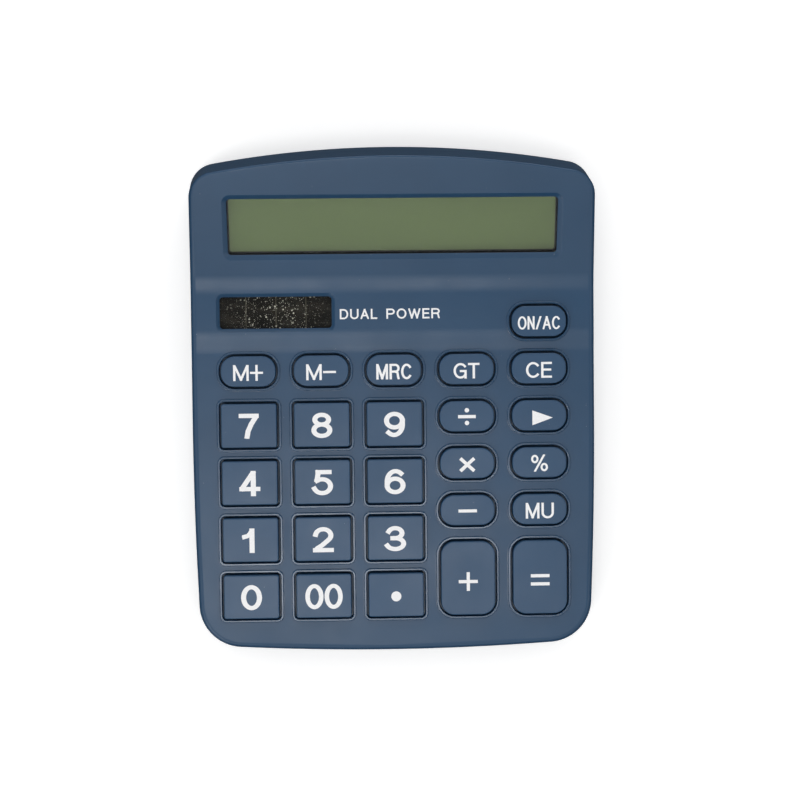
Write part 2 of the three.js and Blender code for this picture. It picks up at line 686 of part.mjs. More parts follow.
// A rubber sheet with a hollow dome under each key's plunger.
function keypadMembrane() {
  const { side, front, rear } = SHEET_INSET;
  const bottom = SHEET_TOP - SHEET;
  const sheet = panelPlate(
    BOARD_HALF_WIDTH - side, BOARD_FRONT + front, BOARD_REAR - rear, bottom, SHEET_TOP);
  const cones = (foot, top, shrink) => KEYS.map(({ x, y }) => turned([
    [0, foot],
    [DOME_FOOT_RADIUS - shrink, foot],
    [PLUNGER_RADIUS - shrink, top],
    [0, top],
  ], 6).translate(x, y, 0));
  const domes = cones(SHEET_TOP - SHEET / 2, DOME_TOP, 0);
  const hollows = cones(bottom - 1, DOME_TOP - DOME_WALL, DOME_WALL);
  const holes = BOARD_SCREWS.map(([x, y]) => post(x, y, BOARD_POST_RADIUS + GAP, -FAR, FAR));
  return joined([sheet, ...domes].map(solidOf))
    .subtract(joined([...hollows, ...holes].map(solidOf)));
}

// A crowned drop of black epoxy over the chip, hanging under the board.
const chipBlob = () => turned([[0, -2], [2.6, -1.8], [5, -1.1], [6, 0], [0, 0]], 16)
  .translate(-14, 6, BOARD_BOTTOM - GAP);

// A small electrolytic capacitor lying on its side under the board.
const capacitor = () => post(0, 0, 2.4, -3.5, 3.5, 14)
  .rotateY(Math.PI / 2)
  .translate(16, 12, BOARD_BOTTOM - GAP - 2.4);

// ---------------------------------------------------------------------------------------------
// Battery, contacts and wires

function batteryCell() {
  const radius = CELL_RADIUS;
  const half = CELL_LENGTH / 2;
  const shoulder = half - CELL_NUB.height;
  const edge = 0.55;
  return turned([
    [0, -half],
    [radius - edge, -half],
    [radius, -half + edge],
    [radius, shoulder - edge],
    [radius - edge, shoulder],
    [CELL_NUB.radius, shoulder],
    [CELL_NUB.radius, half],
    [0, half],
  ], 16).rotateY(Math.PI / 2).translate(CELL_X, CELL_Y, CELL_Z);
}

// The contact plate against the bay's right-hand end wall, with a tab out through the wall's slot.
function contactPlate() {
  const outer = BAY_HALF_LENGTH - GAP;
  const inner = outer - CONTACT;
  const front = CELL_Y - CONTACT_HALF_WIDTH;
  const face = block(
    [inner, front, CELL_Z - CONTACT_HALF_HEIGHT],
    [outer, CELL_Y + CONTACT_HALF_WIDTH, CELL_Z + CONTACT_HALF_HEIGHT],
  );
  const tab = block(
    [inner + CONTACT / 2, front, CELL_Z - TAB_HALF_HEIGHT],
    [BAY_HALF_LENGTH + BAY_WALL + TAB_REACH, front + CONTACT, CELL_Z + TAB_HALF_HEIGHT],
  );
  return solidOf(face).add(solidOf(tab));
}

// A tapering coil spring, wide end on its contact plate.
function batterySpring() {
  const stepsPerTurn = 8;
  const steps = SPRING_TURNS * stepsPerTurn;
  const points = Array.from({ length: steps + 1 }, (_, i) => {
    const along = i / steps;
    const angle = (2 * Math.PI * i) / stepsPerTurn;
    const radius = THREE.MathUtils.lerp(SPRING_RADII.wide, SPRING_RADII.narrow, along);
    return [along * SPRING_LENGTH, radius * Math.cos(angle), radius * Math.sin(angle)];
  });
  const start = -BAY_HALF_LENGTH + GAP + CONTACT + GAP + SPRING_WIRE_RADIUS;
  return wire(points, SPRING_WIRE_RADIUS, steps).translate(start, CELL_Y, CELL_Z);
}

const WIRE_START_X = BAY_HALF_LENGTH + BAY_WALL + TAB_REACH + GAP;
const onBoardUnderside = (x, y, below) =>
  new THREE.Vector3(x, y, BOARD_BOTTOM - below).applyMatrix4(KEYPAD).toArray();

// A battery wire from a contact tab, forward along the floor, to a pad under the board.
function batteryWire(side) {
  const [endX, endY, endZ] = onBoardUnderside(side * WIRE_PAD_X, WIRE_PAD_Y, WIRE_RADIUS + GAP);
  return wire([
    [side * WIRE_START_X, CELL_Y - 6.2, CELL_Z],
    [side * (WIRE_START_X + 3), CELL_Y - 7, CELL_Z - 0.5],
    [side * (WIRE_START_X + 4.5), CELL_Y - 14, CELL_Z - 2],
    [side * (WIRE_PAD_X + 0.5), endY + 9, endZ - 2.6],
    [endX, endY + 3, endZ - 0.8],
    [endX, endY, endZ],
  ], WIRE_RADIUS, 12);
}

// A solar wire from the back of the cell, round the board's rear edge, to its underside.
function solarWire(x) {
  const below = WIRE_RADIUS + GAP;
  const start = new THREE.Vector3(x - SOLAR_CENTRE.x, 2.6, SOLAR_CELL_BOTTOM - below)
    .applyMatrix4(SOLAR);
  const edge = new THREE.Vector3(x, BOARD_REAR + 1.7, BOARD_TOP).applyMatrix4(KEYPAD);
  return wire([
    start.toArray(),
    [x, start.y + 1.6, start.z - 0.3],
    edge.toArray(),
    [x, edge.y - 0.6, edge.z - 2.9],
    onBoardUnderside(x, BOARD_REAR - 4, below),
  ], WIRE_RADIUS, 10);
}

// ---------------------------------------------------------------------------------------------
// Feet and screws

const foot = () => turned([
  [0, 0],
  [FOOT_RADIUS - 0.4, 0],
  [FOOT_RADIUS, 0.4],
  [FOOT_RADIUS, FLOOR_Z + FOOT_RECESS - GAP],
  [0, FLOOR_Z + FOOT_RECESS - GAP],
], 16);

// A pan-head screw standing on its head, with a cross cut in the head.
function screw(scale, shankLength) {
  const head = HEAD_RADIUS * scale;
  const height = HEAD_HEIGHT * scale;
  const shank = SHANK_RADIUS * scale;
  const body = turned([
    [0, 0],
    [head * 0.75, 0],
    [head, height * 0.45],
    [head, height],
    [shank, height],
    [shank, height + shankLength - shank],
    [0, height + shankLength],
  ], 10);
  const reach = head * 0.55;
  const narrow = CROSS_HALF_WIDTH;
  const cutDepth = height * 0.5;
  const cuts = [
    block([-reach, -narrow, -1], [reach, narrow, cutDepth]),
    block([-narrow, -reach, -1], [narrow, reach, cutDepth]),
  ];
  return solidOf(body).subtract(joined(cuts.map(solidOf)));
}

// ---------------------------------------------------------------------------------------------
// Assembly

const calculator = new THREE.Group();

function place(name, geometryOrSolid, finish, matrix = new THREE.Matrix4()) {
  const { isBufferGeometry } = geometryOrSolid;
  const geometry = isBufferGeometry ? geometryOrSolid : geometryOf(geometryOrSolid);
  const mesh = new THREE.Mesh(geometry, finish);
  mesh.name = name;
  mesh.applyMatrix4(matrix);
  calculator.add(mesh);
}

place('front_cover', frontCover(), SHELL_BLUE);
place('back_cover', backCover(), SHELL_BLUE);
place('battery_door', batteryDoor(), SHELL_BLUE);

for (const key of KEYS) place(key.name, keyCap(key), KEY_BLUE, atKey(key));

place('display_window', displayPlate(WINDOW_BOTTOM, WINDOW_TOP), CLEAR, DISPLAY);
place('lcd_glass', displayPlate(GLASS_BOTTOM, GLASS_TOP), LCD_GREEN, DISPLAY);
place('lcd_frame', lcdFrame(), FRAME_WHITE, DISPLAY);
place('lcd_ribbon', lcdRibbon(), RIBBON_TAN);
place('solar_window', solarPlate(SOLAR_WINDOW_BOTTOM, WINDOW_TOP), CLEAR, SOLAR);
place('solar_cell', solarPlate(SOLAR_CELL_BOTTOM, SOLAR_CELL_TOP), SOLAR_BLACK, SOLAR);

place('circuit_board', circuitBoard(), BOARD_GREEN, KEYPAD);
place('keypad_membrane', keypadMembrane(), RUBBER_GREY, KEYPAD);
place('chip_blob', chipBlob(), EPOXY_BLACK, KEYPAD);
place('capacitor', capacitor(), EPOXY_BLACK, KEYPAD);

place('battery_cell', batteryCell(), CELL_WRAP);
place('battery_spring', batterySpring(), STEEL);
place('battery_contact_negative', contactPlate().mirror([1, 0, 0]), STEEL);
place('battery_contact_positive', contactPlate(), BRASS);
place('battery_wire_black', batteryWire(-1), WIRE_BLACK);
place('battery_wire_red', batteryWire(1), WIRE_RED);
place('solar_wire_black', solarWire(SOLAR_WIRES.black), WIRE_BLACK);
place('solar_wire_red', solarWire(SOLAR_WIRES.red), WIRE_RED);

FEET.forEach(([x, y], i) => {
  place(`rubber_foot_${i + 1}`, foot(), RUBBER_BLACK, new THREE.Matrix4().makeTranslation(x, y, 0));
});

CASE_SCREWS.forEach(([x, y], i) => {
  const seat = bossTop(y) - BOSS_SEAT - GAP - HEAD_HEIGHT;
  const upright = new THREE.Matrix4().makeTranslation(x, y, seat);
  place(`case_screw_${i + 1}`, screw(1, SHANK_LENGTH), STEEL, upright);
});

BOARD_SCREWS.forEach(([x, y], i) => {
  const { scale, shankLength } = BOARD_SCREW;
  const under = new THREE.Matrix4().makeTranslation(x, y, BOARD_BOTTOM - GAP - HEAD_HEIGHT * scale);
  place(`board_screw_${i + 1}`, screw(scale, shankLength), STEEL, KEYPAD.clone().multiply(under));
});

export default calculator;
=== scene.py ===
"""The looks of a desktop calculator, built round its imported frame.

Metres, +X to the right, +Y to the rear and +Z up. Shapes are worked out in millimetres and
brought to metres when their mesh is made."""

import json
import math
from contextlib import contextmanager

import bmesh
import bpy
from mathutils import Matrix, Vector


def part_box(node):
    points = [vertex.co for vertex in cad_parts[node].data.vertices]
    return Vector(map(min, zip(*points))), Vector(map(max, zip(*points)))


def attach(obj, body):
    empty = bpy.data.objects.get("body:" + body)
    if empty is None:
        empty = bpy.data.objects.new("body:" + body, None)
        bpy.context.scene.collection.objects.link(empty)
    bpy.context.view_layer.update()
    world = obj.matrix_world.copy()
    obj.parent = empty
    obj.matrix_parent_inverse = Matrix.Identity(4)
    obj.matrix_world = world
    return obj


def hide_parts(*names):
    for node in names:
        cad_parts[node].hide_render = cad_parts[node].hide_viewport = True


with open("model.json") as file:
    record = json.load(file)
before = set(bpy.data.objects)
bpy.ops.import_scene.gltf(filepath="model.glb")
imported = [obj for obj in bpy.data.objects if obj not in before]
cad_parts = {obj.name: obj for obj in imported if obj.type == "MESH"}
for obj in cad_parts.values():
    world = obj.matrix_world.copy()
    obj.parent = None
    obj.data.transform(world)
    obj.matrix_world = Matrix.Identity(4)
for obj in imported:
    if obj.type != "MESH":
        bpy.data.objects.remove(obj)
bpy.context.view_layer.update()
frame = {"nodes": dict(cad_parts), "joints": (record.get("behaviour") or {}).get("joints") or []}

MM = 0.001
CASE = "case"

# ---- Driving dimensions, in millimetres and degrees

GAP = 0.3  # between pieces that lie against each other
FAR = 200.0  # longer than anything here, for cutting tools
SKIN = 0.002  # how far the visual surface stays inside the CAD box
TOUCHING = 1e-4  # points nearer than this are the same point of a stroke
MERGED = 0.002  # vertices nearer than this become one
FLAT_ANGLE = 0.3  # faces that meet at less than this become one
LEAST_RADIUS = 0.02  # of a corner
CORNER_STEPS = 8
AXIS = 0.05  # radius at which a turned profile starts and ends

FRONT_HALF_WIDTH = 59.1
TAPER_START_Y = -6.0  # the sides draw in from here to the front corners
FRONT_EDGE_RADIUS = 750.0
REAR_EDGE_RADIUS = 310.0
FRONT_CORNER_RADIUS = 13.0
REAR_CORNER_RADIUS = 8.0

DISPLAY_SLOPE = 20.9
KEYPAD_END_Y = 14.45
STEP_END_Y = 18.95
LEDGE_END_Y = 31.95
DISPLAY_START_Y = 35.45
BEND_ROUNDING = 1.3

WALL = 2.0
TOP_WALL = 1.8
FLOOR = 2.0
EDGE_ROUNDING = 1.7
REAR_ROUNDING = 0.7
SIDE_DRAFT = 4.0
REAR_LEAN = 16.0
ROUNDING_STEPS = 7
SIDE_STEPS = 60
LEAN_START_Y = 30.0  # the side walls take up the rear wall's lean from here to the corners
PARTING_FRONT_Z = 6.0
PARTING_REAR_Z = 12.0

KEY_RISE = 1.6
KEY_GAP = 0.5
KEY_EDGE = 0.32
KEY_TAPER = 0.08
FLANGE_WIDTH = 0.9
FLANGE = 1.0
CAP_WALL = 1.2
RIM_WIDTH = 0.75
RIM_RISE = 0.45
RIM_SKIRT = 0.16  # how far the bead runs out into the face
RIM_FOOT = 0.12  # height of the bead's upright foot
RIM_CREST = 0.34  # width of its level top
OPENING_REACH = (-4.0, 3.0)  # how far the cutting tool goes below and above the face
PLUNGER_RADIUS = 2.0
DIGIT_KEY_HEIGHT = 13.1
DIGIT_KEY_RADIUS = 0.8
FUNCTION_KEY_RADIUS = 4.05
LEGEND_RISE = 0.03
LEGEND_DEPTH = 0.1

WINDOW_DEPTH = 2.1  # from the face to the window behind it
WINDOW_SOFTENING = 0.12  # rounding of the edges of a window's bevel
WINDOW_REACH = (-6.0, 5.0)  # how far the cutting tool goes below and above the face
DISPLAY_APERTURE = (96.5, 16.6, 1.0)  # width, height and corner radius
DISPLAY_SHIFT = -0.55  # from the window's middle to the middle of its aperture
DISPLAY_BEVEL = (1.4, 1.0)  # width and depth
# a near-black frame whose inner edge shows round the LCD as painted shadow
SHADE_FRAME_OUTSET = 1.4
SHADE_FRAME_INSET = 0.42
SHADE_FRAME_THICKNESS = 0.24
SHADE_FRAME_GAP = 0.03
SOLAR_APERTURE = (33.0, 9.3, 1.0)
SOLAR_BEVEL = (1.05, 1.0)
SOLAR_CELLS = 3.9999  # four, and a little less so that the far edge doesn't start a fifth
SOLAR_LINE = 0.012  # half width of the line between two cells, as a share of a cell

LIP_HEIGHT = 1.2
LIP_INSET = 2.8
LIP_THICKNESS = 0.9

DOOR_HALF_WIDTH = 30.5
DOOR_FRONT_Y = 50.2
DOOR = 1.6
DOOR_TONGUE = 1.1
TONGUE_THICKNESS = 0.6
TONGUE_END_Y = 70.0
RAIL = 2.4
RAIL_ROOF = 1.4
GRIP_COUNT = 4
GRIP_HALF_LENGTH = 6.0
GRIP_WIDTH = 0.9
GRIP_DEPTH = 0.5
GRIP_PITCH = 1.8
GRIP_LAST_Y = 66.0
ARROW = 2.0
BAY_WALL = 1.3
BAY_HALF_LENGTH = 29.2
BAY_HALF_WIDTH = 7.8
BAY_ROOF_Z = 18.4
BAY_ROOF = 1.0
TAB_SLOT = 2.4
CELL_NUB_RADIUS = 2.7
CELL_NUB_HEIGHT = 1.4
SPRING_WIRE_RADIUS = 0.35
SPRING_TURNS = 4
SPRING_STEPS = 48  # points for each turn
WIRE_SIDES = 12
SPRING_NARROWING = 0.57

BOSS_RADIUS = 3.45
BOSS_DROP = 1.0
BOSS_SEAT = 1.8
POST_RADIUS = 2.7
SCREW_HEAD = 2.2
SCREW_HEAD_HEIGHT = 1.1
SCREW_SHANK = 1.0
HOLE_CHAMFER = 0.3

SCREW_PITCH = 0.5
CROSS = (0.6, 0.22)  # the recess's arms, as shares of the head's radius
CROSS_DEPTH = 0.7
FOOT_ROUNDING = 0.6
PLATE_EDGE = 0.1

PRINT_TEXT = "DUAL POWER"
PRINT_CENTRE = (-1.0, 26.0)
PRINT_HEIGHT = 3.0
PRINT_STROKE = (0.5, 0.46)
PRINT_SPACING = 0.55
PRINT_WIDTHS = {" ": 1.6, "L": 1.9, "W": 3.6, "E": 2.1, "O": 2.9, "other": 2.5}
TRIMMED = "1247AELMNPRTVWD/%"  # characters whose strokes are cut off level at top and bottom
# Thickness of a legend's upright strokes and of its level strokes
DIGIT = (1.5, 1.26)
THIN = (0.7, 0.64)
BOLD = (1.2, 1.2)

CAMERA_LENS = 72
CAMERA_SENSOR = 36
CAMERA_PLACE = (-0.01249, -0.00877, 0.49184)  # metres
CAMERA_TURN = (0.96, -1.72, -0.70)  # degrees about X, Y and Z, in the order Z, Y, X
FLOOR_HALF = 1.5
FLOOR_GLOW = 0.32  # the floor is a light table, so that it stays white round the object
BACKDROP_RADIUS = 2.5
# Each light's place and size in metres, its power, and its turn about its own axis in degrees
LIGHTS = {
    "softbox": ((-0.085, -0.27, 0.95), (0.48, 0.12), 1.55, 25),
    "rear_fill": ((0.1, 0.9, 0.4), (0.8, 0.3), 2.0, 0),
    "front_left": ((-0.75, -0.9, 0.45), (0.7, 0.5), 2.5, 0),
}
# Brightness of the surroundings at heights from the horizon (0) to the zenith (1)
TENT = [(0.0, 0.06), (0.25, 0.1), (0.36, 1.0), (0.6, 1.0), (0.72, 0.42), (0.95, 0.35), (0.985, 0.08)]
TENT_STRENGTH = 1.3

PRESS = Vector(next(j for j in frame["joints"] if j["name"] == "press_5")["axis"])
KEYPAD_SLOPE = math.degrees(math.asin(PRESS.y))
KEY_NODES = [n for n in frame["nodes"] if n.startswith("key_")]
FOOT_NODES = [n for n in frame["nodes"] if n.startswith("rubber_foot")]
SCREW_NODES = [n for n in frame["nodes"] if n.startswith("case_screw")]


def box_mm(node):
    """Lowest and highest corner of a CAD node, in millimetres."""
    low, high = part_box(node)
    return low / MM, high / MM


def place(x, y, z):
    return Matrix.Translation((x, y, z))


def centred(low, high, z=0.0):
    """The place at height z over the middle of a box."""
    return place((low.x + high.x) / 2, (low.y + high.y) / 2, z)


def end_middle(low, high):
    """The middle of a box's left end."""
    return low.x, (low.y + high.y) / 2, (low.z + high.z) / 2


def tilt(slope):
    """The turn from a level frame to one on a face that rises to the rear by slope degrees."""
    return Matrix.Rotation(math.radians(slope), 4, "X")


def tilted_box(node, slope):
    """A CAD node's box in the frame of a face with that slope, in millimetres."""
    turn = tilt(-slope)
    points = [turn @ (v.co / MM) for v in frame["nodes"][node].data.vertices]
    low = Vector(min(p[i] for p in points) for i in range(3))
    high = Vector(max(p[i] for p in points) for i in range(3))
    return low, high


SCREW_PLACES = [centred(*box_mm(node)).translation.xy for node in SCREW_NODES]
BODY_LOW, BODY_HIGH = box_mm("back_cover")
HALF_WIDTH = BODY_HIGH.x - SKIN
HALF_LENGTH = BODY_HIGH.y - SKIN
FLOOR_Z = BODY_LOW.z

# Heights of the faces above the origin, measured square to each face
KEYPAD_LEVEL = tilted_box("key_5", KEYPAD_SLOPE)[1].z - KEY_RISE
LEDGE_LEVEL = tilted_box("solar_window", KEYPAD_SLOPE)[1].z + WINDOW_DEPTH
DISPLAY_LEVEL = tilted_box("display_window", DISPLAY_SLOPE)[1].z + WINDOW_DEPTH


def height_on(level, slope, y):
    """Height at y of a face whose plane lies level millimetres from the origin."""
    return level / math.cos(math.radians(slope)) + y * math.tan(math.radians(slope))


def profile_knots():
    """The side profile of the top face, as (y, z) points."""
    faces = [
        (KEYPAD_LEVEL, KEYPAD_SLOPE, -HALF_LENGTH, KEYPAD_END_Y),
        (LEDGE_LEVEL, KEYPAD_SLOPE, STEP_END_Y, LEDGE_END_Y),
        (DISPLAY_LEVEL, DISPLAY_SLOPE, DISPLAY_START_Y, HALF_LENGTH),
    ]
    return [(y, height_on(level, slope, y)) for level, slope, *ends in faces for y in ends]


KNOTS = profile_knots()


def top_height(y):
    """Height of the top face at y, its bends slightly rounded."""
    slopes = [(b[1] - a[1]) / (b[0] - a[0]) for a, b in zip(KNOTS, KNOTS[1:])]
    height = KNOTS[0][1] + (y - KNOTS[0][0]) * slopes[0]
    for (knot_y, _), before, after in zip(KNOTS[1:-1], slopes, slopes[1:]):
        bend = after - before
        height += bend * max(0.0, y - knot_y)
        reach = BEND_ROUNDING - abs(y - knot_y)
        if reach > 0:
            height += bend * reach ** 2 / (4 * BEND_ROUNDING)
    return height


def parting_height(y):
    along = (y + HALF_LENGTH) / (2 * HALF_LENGTH)
    return PARTING_FRONT_Z + along * (PARTING_REAR_Z - PARTING_FRONT_Z)


# ---- Mesh helpers

LEVEL = Matrix.Identity(4)


def linked(name, data):
    """A new object in the scene that shows a mesh, a light or a camera."""
    made = bpy.data.objects.new(name, data)
    bpy.context.scene.collection.objects.link(made)
    return made


@contextmanager
def editing(mesh):
    """A mesh open for changes, which are written back at the end."""
    bm = bmesh.new()
    bm.from_mesh(mesh)
    yield bm
    bm.to_mesh(mesh)
    bm.free()


def mesh_object(name, points, faces, matrix=LEVEL):
    """A mesh from points in millimetres, placed by matrix, with its faces pointing out."""
    mesh = bpy.data.meshes.new(name)
    mesh.from_pydata([matrix @ Vector(p) for p in points], [], faces)
    with editing(mesh) as bm:
        bmesh.ops.recalc_face_normals(bm, faces=bm.faces)
    return linked(name, mesh)


def side_faces(loops):
    """The four-sided faces between loops of points of equal number."""
    count = len(loops[0])
    faces = []
    for level in range(len(loops) - 1):
        for i in range(count):
            a = level * count + i
            b = level * count + (i + 1) % count
            faces.append((a, b, b + count, a + count))
    return faces


def loft(name, loops, matrix=LEVEL):
    """A closed solid through loops of points of equal number, with flat ends."""
    count = len(loops[0])
    points = [p for loop in loops for p in loop]
    ends = [tuple(range(count)), tuple(range(len(points) - count, len(points)))]
    return mesh_object(name, points, ends + side_faces(loops), matrix)


def rounded_loop(width, height, radius, z):
    """A rounded rectangle of points at height z."""
    radius = max(radius, LEAST_RADIUS)
    x, y = width / 2 - radius, height / 2 - radius
    corners = [(x, y, 0), (-x, y, 90), (-x, -y, 180), (x, -y, 270)]
    loop = []
    for corner_x, corner_y, start in corners:
        for i in range(CORNER_STEPS + 1):
            angle = math.radians(start + 90 * i / CORNER_STEPS)
            loop.append((corner_x + radius * math.cos(angle), corner_y + radius * math.sin(angle), z))
    return loop


def stack(name, size, levels, matrix=LEVEL):
    """A solid of rounded rectangles. size is (width, height, radius), levels are (grow, z)."""
    width, height, radius = size
    loops = [
        rounded_loop(width + 2 * grow, height + 2 * grow, radius + grow, z) for grow, z in levels
    ]
    return loft(name, loops, matrix)


def block(name, low, high, matrix=LEVEL):
    (x0, y0, z0), (x1, y1, z1) = low, high
    loops = [[(x0, y0, z), (x1, y0, z), (x1, y1, z), (x0, y1, z)] for z in (z0, z1)]
    return loft(name, loops, matrix)


def circle(count):
    """Points (cos, sin) round a unit circle."""
    turns = [2 * math.pi * i / count for i in range(count)]
    return [(math.cos(a), math.sin(a)) for a in turns]


def turned(name, profile, matrix=LEVEL, sides=48):
    """A solid of revolution about Z. The profile's (radius, z) points start and end off the axis."""
    loops = [[(radius * x, radius * y, z) for x, y in circle(sides)] for radius, z in profile]
    return loft(name, loops, matrix)


def merged(first, *others):
    """Several meshes in one object, for a tool whose solids lie apart."""
    for item in others:
        with editing(first.data) as bm:
            bm.from_mesh(item.data)
        bpy.data.objects.remove(item)
    return first


def boolean(target, tool, operation):
    modifier = target.modifiers.new("boolean", "BOOLEAN")
    modifier.object = tool
    modifier.operation = operation
    modifier.solver = "MANIFOLD"
    bpy.context.view_layer.update()
    result = target.evaluated_get(bpy.context.evaluated_depsgraph_get())
    mesh = bpy.data.meshes.new_from_object(result)
    target.modifiers.remove(modifier)
    target.data = mesh
    bpy.data.objects.remove(tool)
    return target


def join(target, *tools):
    return boolean(target, merged(*tools), "UNION")


def cut(target, *tools):
    return boolean(target, merged(*tools), "DIFFERENCE")


def keep(target, tool):
    """What target and tool both hold."""
    return boolean(target, tool, "INTERSECT")


def paint(made, *materials):
    """Puts materials in a mesh's slots, in order."""
    slots = made.data.materials
    for i, material in enumerate(materials):
        if i < len(slots):
            slots[i] = material
        else:
            slots.append(material)


def finished(made, materials, slot, body, *nodes, sharp=32):
    """Brings a piece to metres, shades it, and puts it on its body in place of CAD nodes."""
    with editing(made.data) as bm:
        bmesh.ops.remove_doubles(bm, verts=bm.verts, dist=MERGED)
        flat = {"angle_limit": math.radians(FLAT_ANGLE), "delimit": {"MATERIAL"}}
        bmesh.ops.dissolve_limit(bm, verts=bm.verts, edges=bm.edges, **flat)
    made.data.transform(Matrix.Scale(MM, 4))
    made.data.shade_smooth()
    made.data.set_sharp_from_angle(angle=math.radians(sharp))
    normals = made.modifiers.new("normals", "WEIGHTED_NORMAL")
    normals.keep_sharp = True
    paint(made, *materials)
    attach(made, body)
    if nodes:
        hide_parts(*nodes)
    return made


# ---- Materials


def srgb(code):
    """A linear colour from an sRGB hex code."""
    parts = [int(code[i:i + 2], 16) / 255 for i in (0, 2, 4)]
    linear = [((c + 0.055) / 1.055) ** 2.4 if c > 0.04045 else c / 12.92 for c in parts]
    return (*linear, 1.0)


def scaled(colour, factor):
    return (*[min(1.0, c * factor) for c in colour[:3]], 1.0)


class Finish:
    """A node material under construction, with a Principled shader and object coordinates."""

    def __init__(self, name):
        self.material = bpy.data.materials.new(name)
        self.material.use_nodes = True
        self.tree = self.material.node_tree
        self.shader = self.tree.nodes["Principled BSDF"]
        self.place = self.tree.nodes.new("ShaderNodeTexCoord").outputs["Object"]

    def node(self, kind, inputs=None, **settings):
        made = self.tree.nodes.new(kind)
        for key, value in settings.items():
            setattr(made, key, value)
        for key, value in (inputs or {}).items():
            self.set(made.inputs[key], value)
        return made

    def set(self, socket, value):
        if isinstance(value, bpy.types.NodeSocket):
            self.tree.links.new(value, socket)
        else:
            socket.default_value = value

    def stretched(self, *scale):
        """Object coordinates scaled by a factor for each axis."""
        return self.node("ShaderNodeMapping", {"Vector": self.place, "Scale": scale}).outputs[0]

    def x_share(self, low, high):
        """0 to 1 along X from low to high, in metres."""
        x = self.node("ShaderNodeSeparateXYZ", {"Vector": self.place}).outputs[0]
        return self.ramp(x, low, high)

    def varied(self, share, colour, low, high, start=0.3, end=0.7):
        """A colour made darker or lighter, by factors from low to high, as share changes."""
        return self.mix(self.ramp(share, start, end), scaled(colour, low), scaled(colour, high))

    def noise(self, size_mm, detail=3.0, roughness=0.5, vector=None, seed=0.0):
        inputs = {
            "Vector": vector or self.place, "Scale": 1 / (size_mm * MM), "Detail": detail,
            "Roughness": roughness, "W": seed,
        }
        return self.node("ShaderNodeTexNoise", inputs, noise_dimensions="4D").outputs["Fac"]

    def ramp(self, value, low, high, to_low=0.0, to_high=1.0):
        """value from low..high, brought to to_low..to_high and clamped."""
        inputs = {
            "Value": value, "From Min": low, "From Max": high, "To Min": to_low, "To Max": to_high,
        }
        return self.node("ShaderNodeMapRange", inputs, clamp=True).outputs[0]

    def between(self, share, low, high):
        """A number from low to high as share changes."""
        return self.ramp(share, 0.3, 0.7, low, high)

    def maths(self, operation, a, b=0.0):
        return self.node("ShaderNodeMath", {0: a, 1: b}, operation=operation).outputs[0]

    def mix(self, share, a, b):
        made = self.node("ShaderNodeMix", data_type="RGBA")
        self.set(made.inputs["Factor"], share)
        self.set(made.inputs[6], a)
        self.set(made.inputs[7], b)
        return made.outputs[2]

    def specks(self, spacing_mm, radius_mm, share, seed):
        """1 in scattered round specks and 0 elsewhere; share is how many cells hold one."""
        moved = self.node("ShaderNodeMapping", {"Vector": self.place, "Location": (seed, seed, 0.0)})
        inputs = {"Vector": moved.outputs[0], "Scale": 1 / (spacing_mm * MM), "Randomness": 1.0}
        cells = self.node("ShaderNodeTexVoronoi", inputs)
        radius = radius_mm / spacing_mm
        near = self.ramp(cells.outputs["Distance"], 0.6 * radius, radius, 1.0, 0.0)
        picked = self.node("ShaderNodeSeparateColor", {"Color": cells.outputs["Color"]}).outputs[0]
        return self.maths("MULTIPLY", near, self.maths("LESS_THAN", picked, share))

    def bump(self, height, depth_mm, strength=1.0, below=None):
        inputs = {"Height": height, "Distance": depth_mm * MM, "Strength": strength}
        if below:
            inputs["Normal"] = below
        return self.node("ShaderNodeBump", inputs).outputs[0]

    def done(self, tone, gloss, normal=None, **sockets):
        """Sets the colour, the roughness, the normal and other sockets by name."""
        sockets.update(Base_Color=tone, Roughness=gloss)
        if normal:
            sockets["Normal"] = normal
        for key, value in sockets.items():
            self.set(self.shader.inputs[key.replace("_", " ")], value)
        return self.material


def moulded_plastic(name, colour, roughness, grain_mm=0.007, seed=0.0, dust=0.04, mirror=0.5):
    """Moulded plastic: fine grain, flow marks, rubbed patches, scratches and a little dust."""
    f = Finish(name)
    mottle = f.noise(22, 4, 0.55, seed=seed)
    flow = f.noise(9, 3, 0.6, f.stretched(0.25, 1.0, 1.0), seed + 1)
    tone = f.varied(mottle, colour, 0.94, 1.06)
    tone = f.mix(f.ramp(flow, 0.45, 0.75, 0.0, 0.12), tone, scaled(colour, 1.25))
    rubbed = f.ramp(f.noise(5, 6, 0.7, seed=seed + 2), 0.6, 0.75, 0.0, 0.25)
    tone = f.mix(rubbed, tone, scaled(colour, 1.5))
    specks = f.specks(1.2, 0.1, dust, seed + 3)
    tone = f.mix(f.maths("MULTIPLY", specks, 0.5), tone, srgb("c9ccd0"))
    scratch = f.noise(3.5, 2, 0.5, f.stretched(0.12, 3.0, 1.0), seed + 4)
    scratched = f.ramp(scratch, 0.70, 0.74)
    gloss = f.between(f.noise(14, 3, 0.5, seed=seed + 5), roughness - 0.035, roughness + 0.045)
    gloss = f.maths("SUBTRACT", gloss, f.maths("MULTIPLY", scratched, 0.05))
    grain = f.noise(0.6, 4, 0.65, seed=seed + 6)
    normal = f.bump(f.noise(5, 3, 0.5, seed=seed + 7), 0.03)
    normal = f.bump(grain, grain_mm, 1.0, normal)
    normal = f.bump(specks, 0.02, 0.6, normal)
    return f.done(tone, gloss, normal, IOR=1.5, Specular_IOR_Level=mirror)


def printed_ink(name, colour):
    """Slightly uneven pad-printed ink."""
    f = Finish(name)
    cover = f.noise(0.5, 4, 0.6, seed=3.0)
    tone = f.varied(cover, colour, 0.9, 1.0)
    gloss = f.between(f.noise(2.0, 3, seed=5.0), 0.42, 0.55)
    return f.done(tone, gloss, f.bump(cover, 0.006))


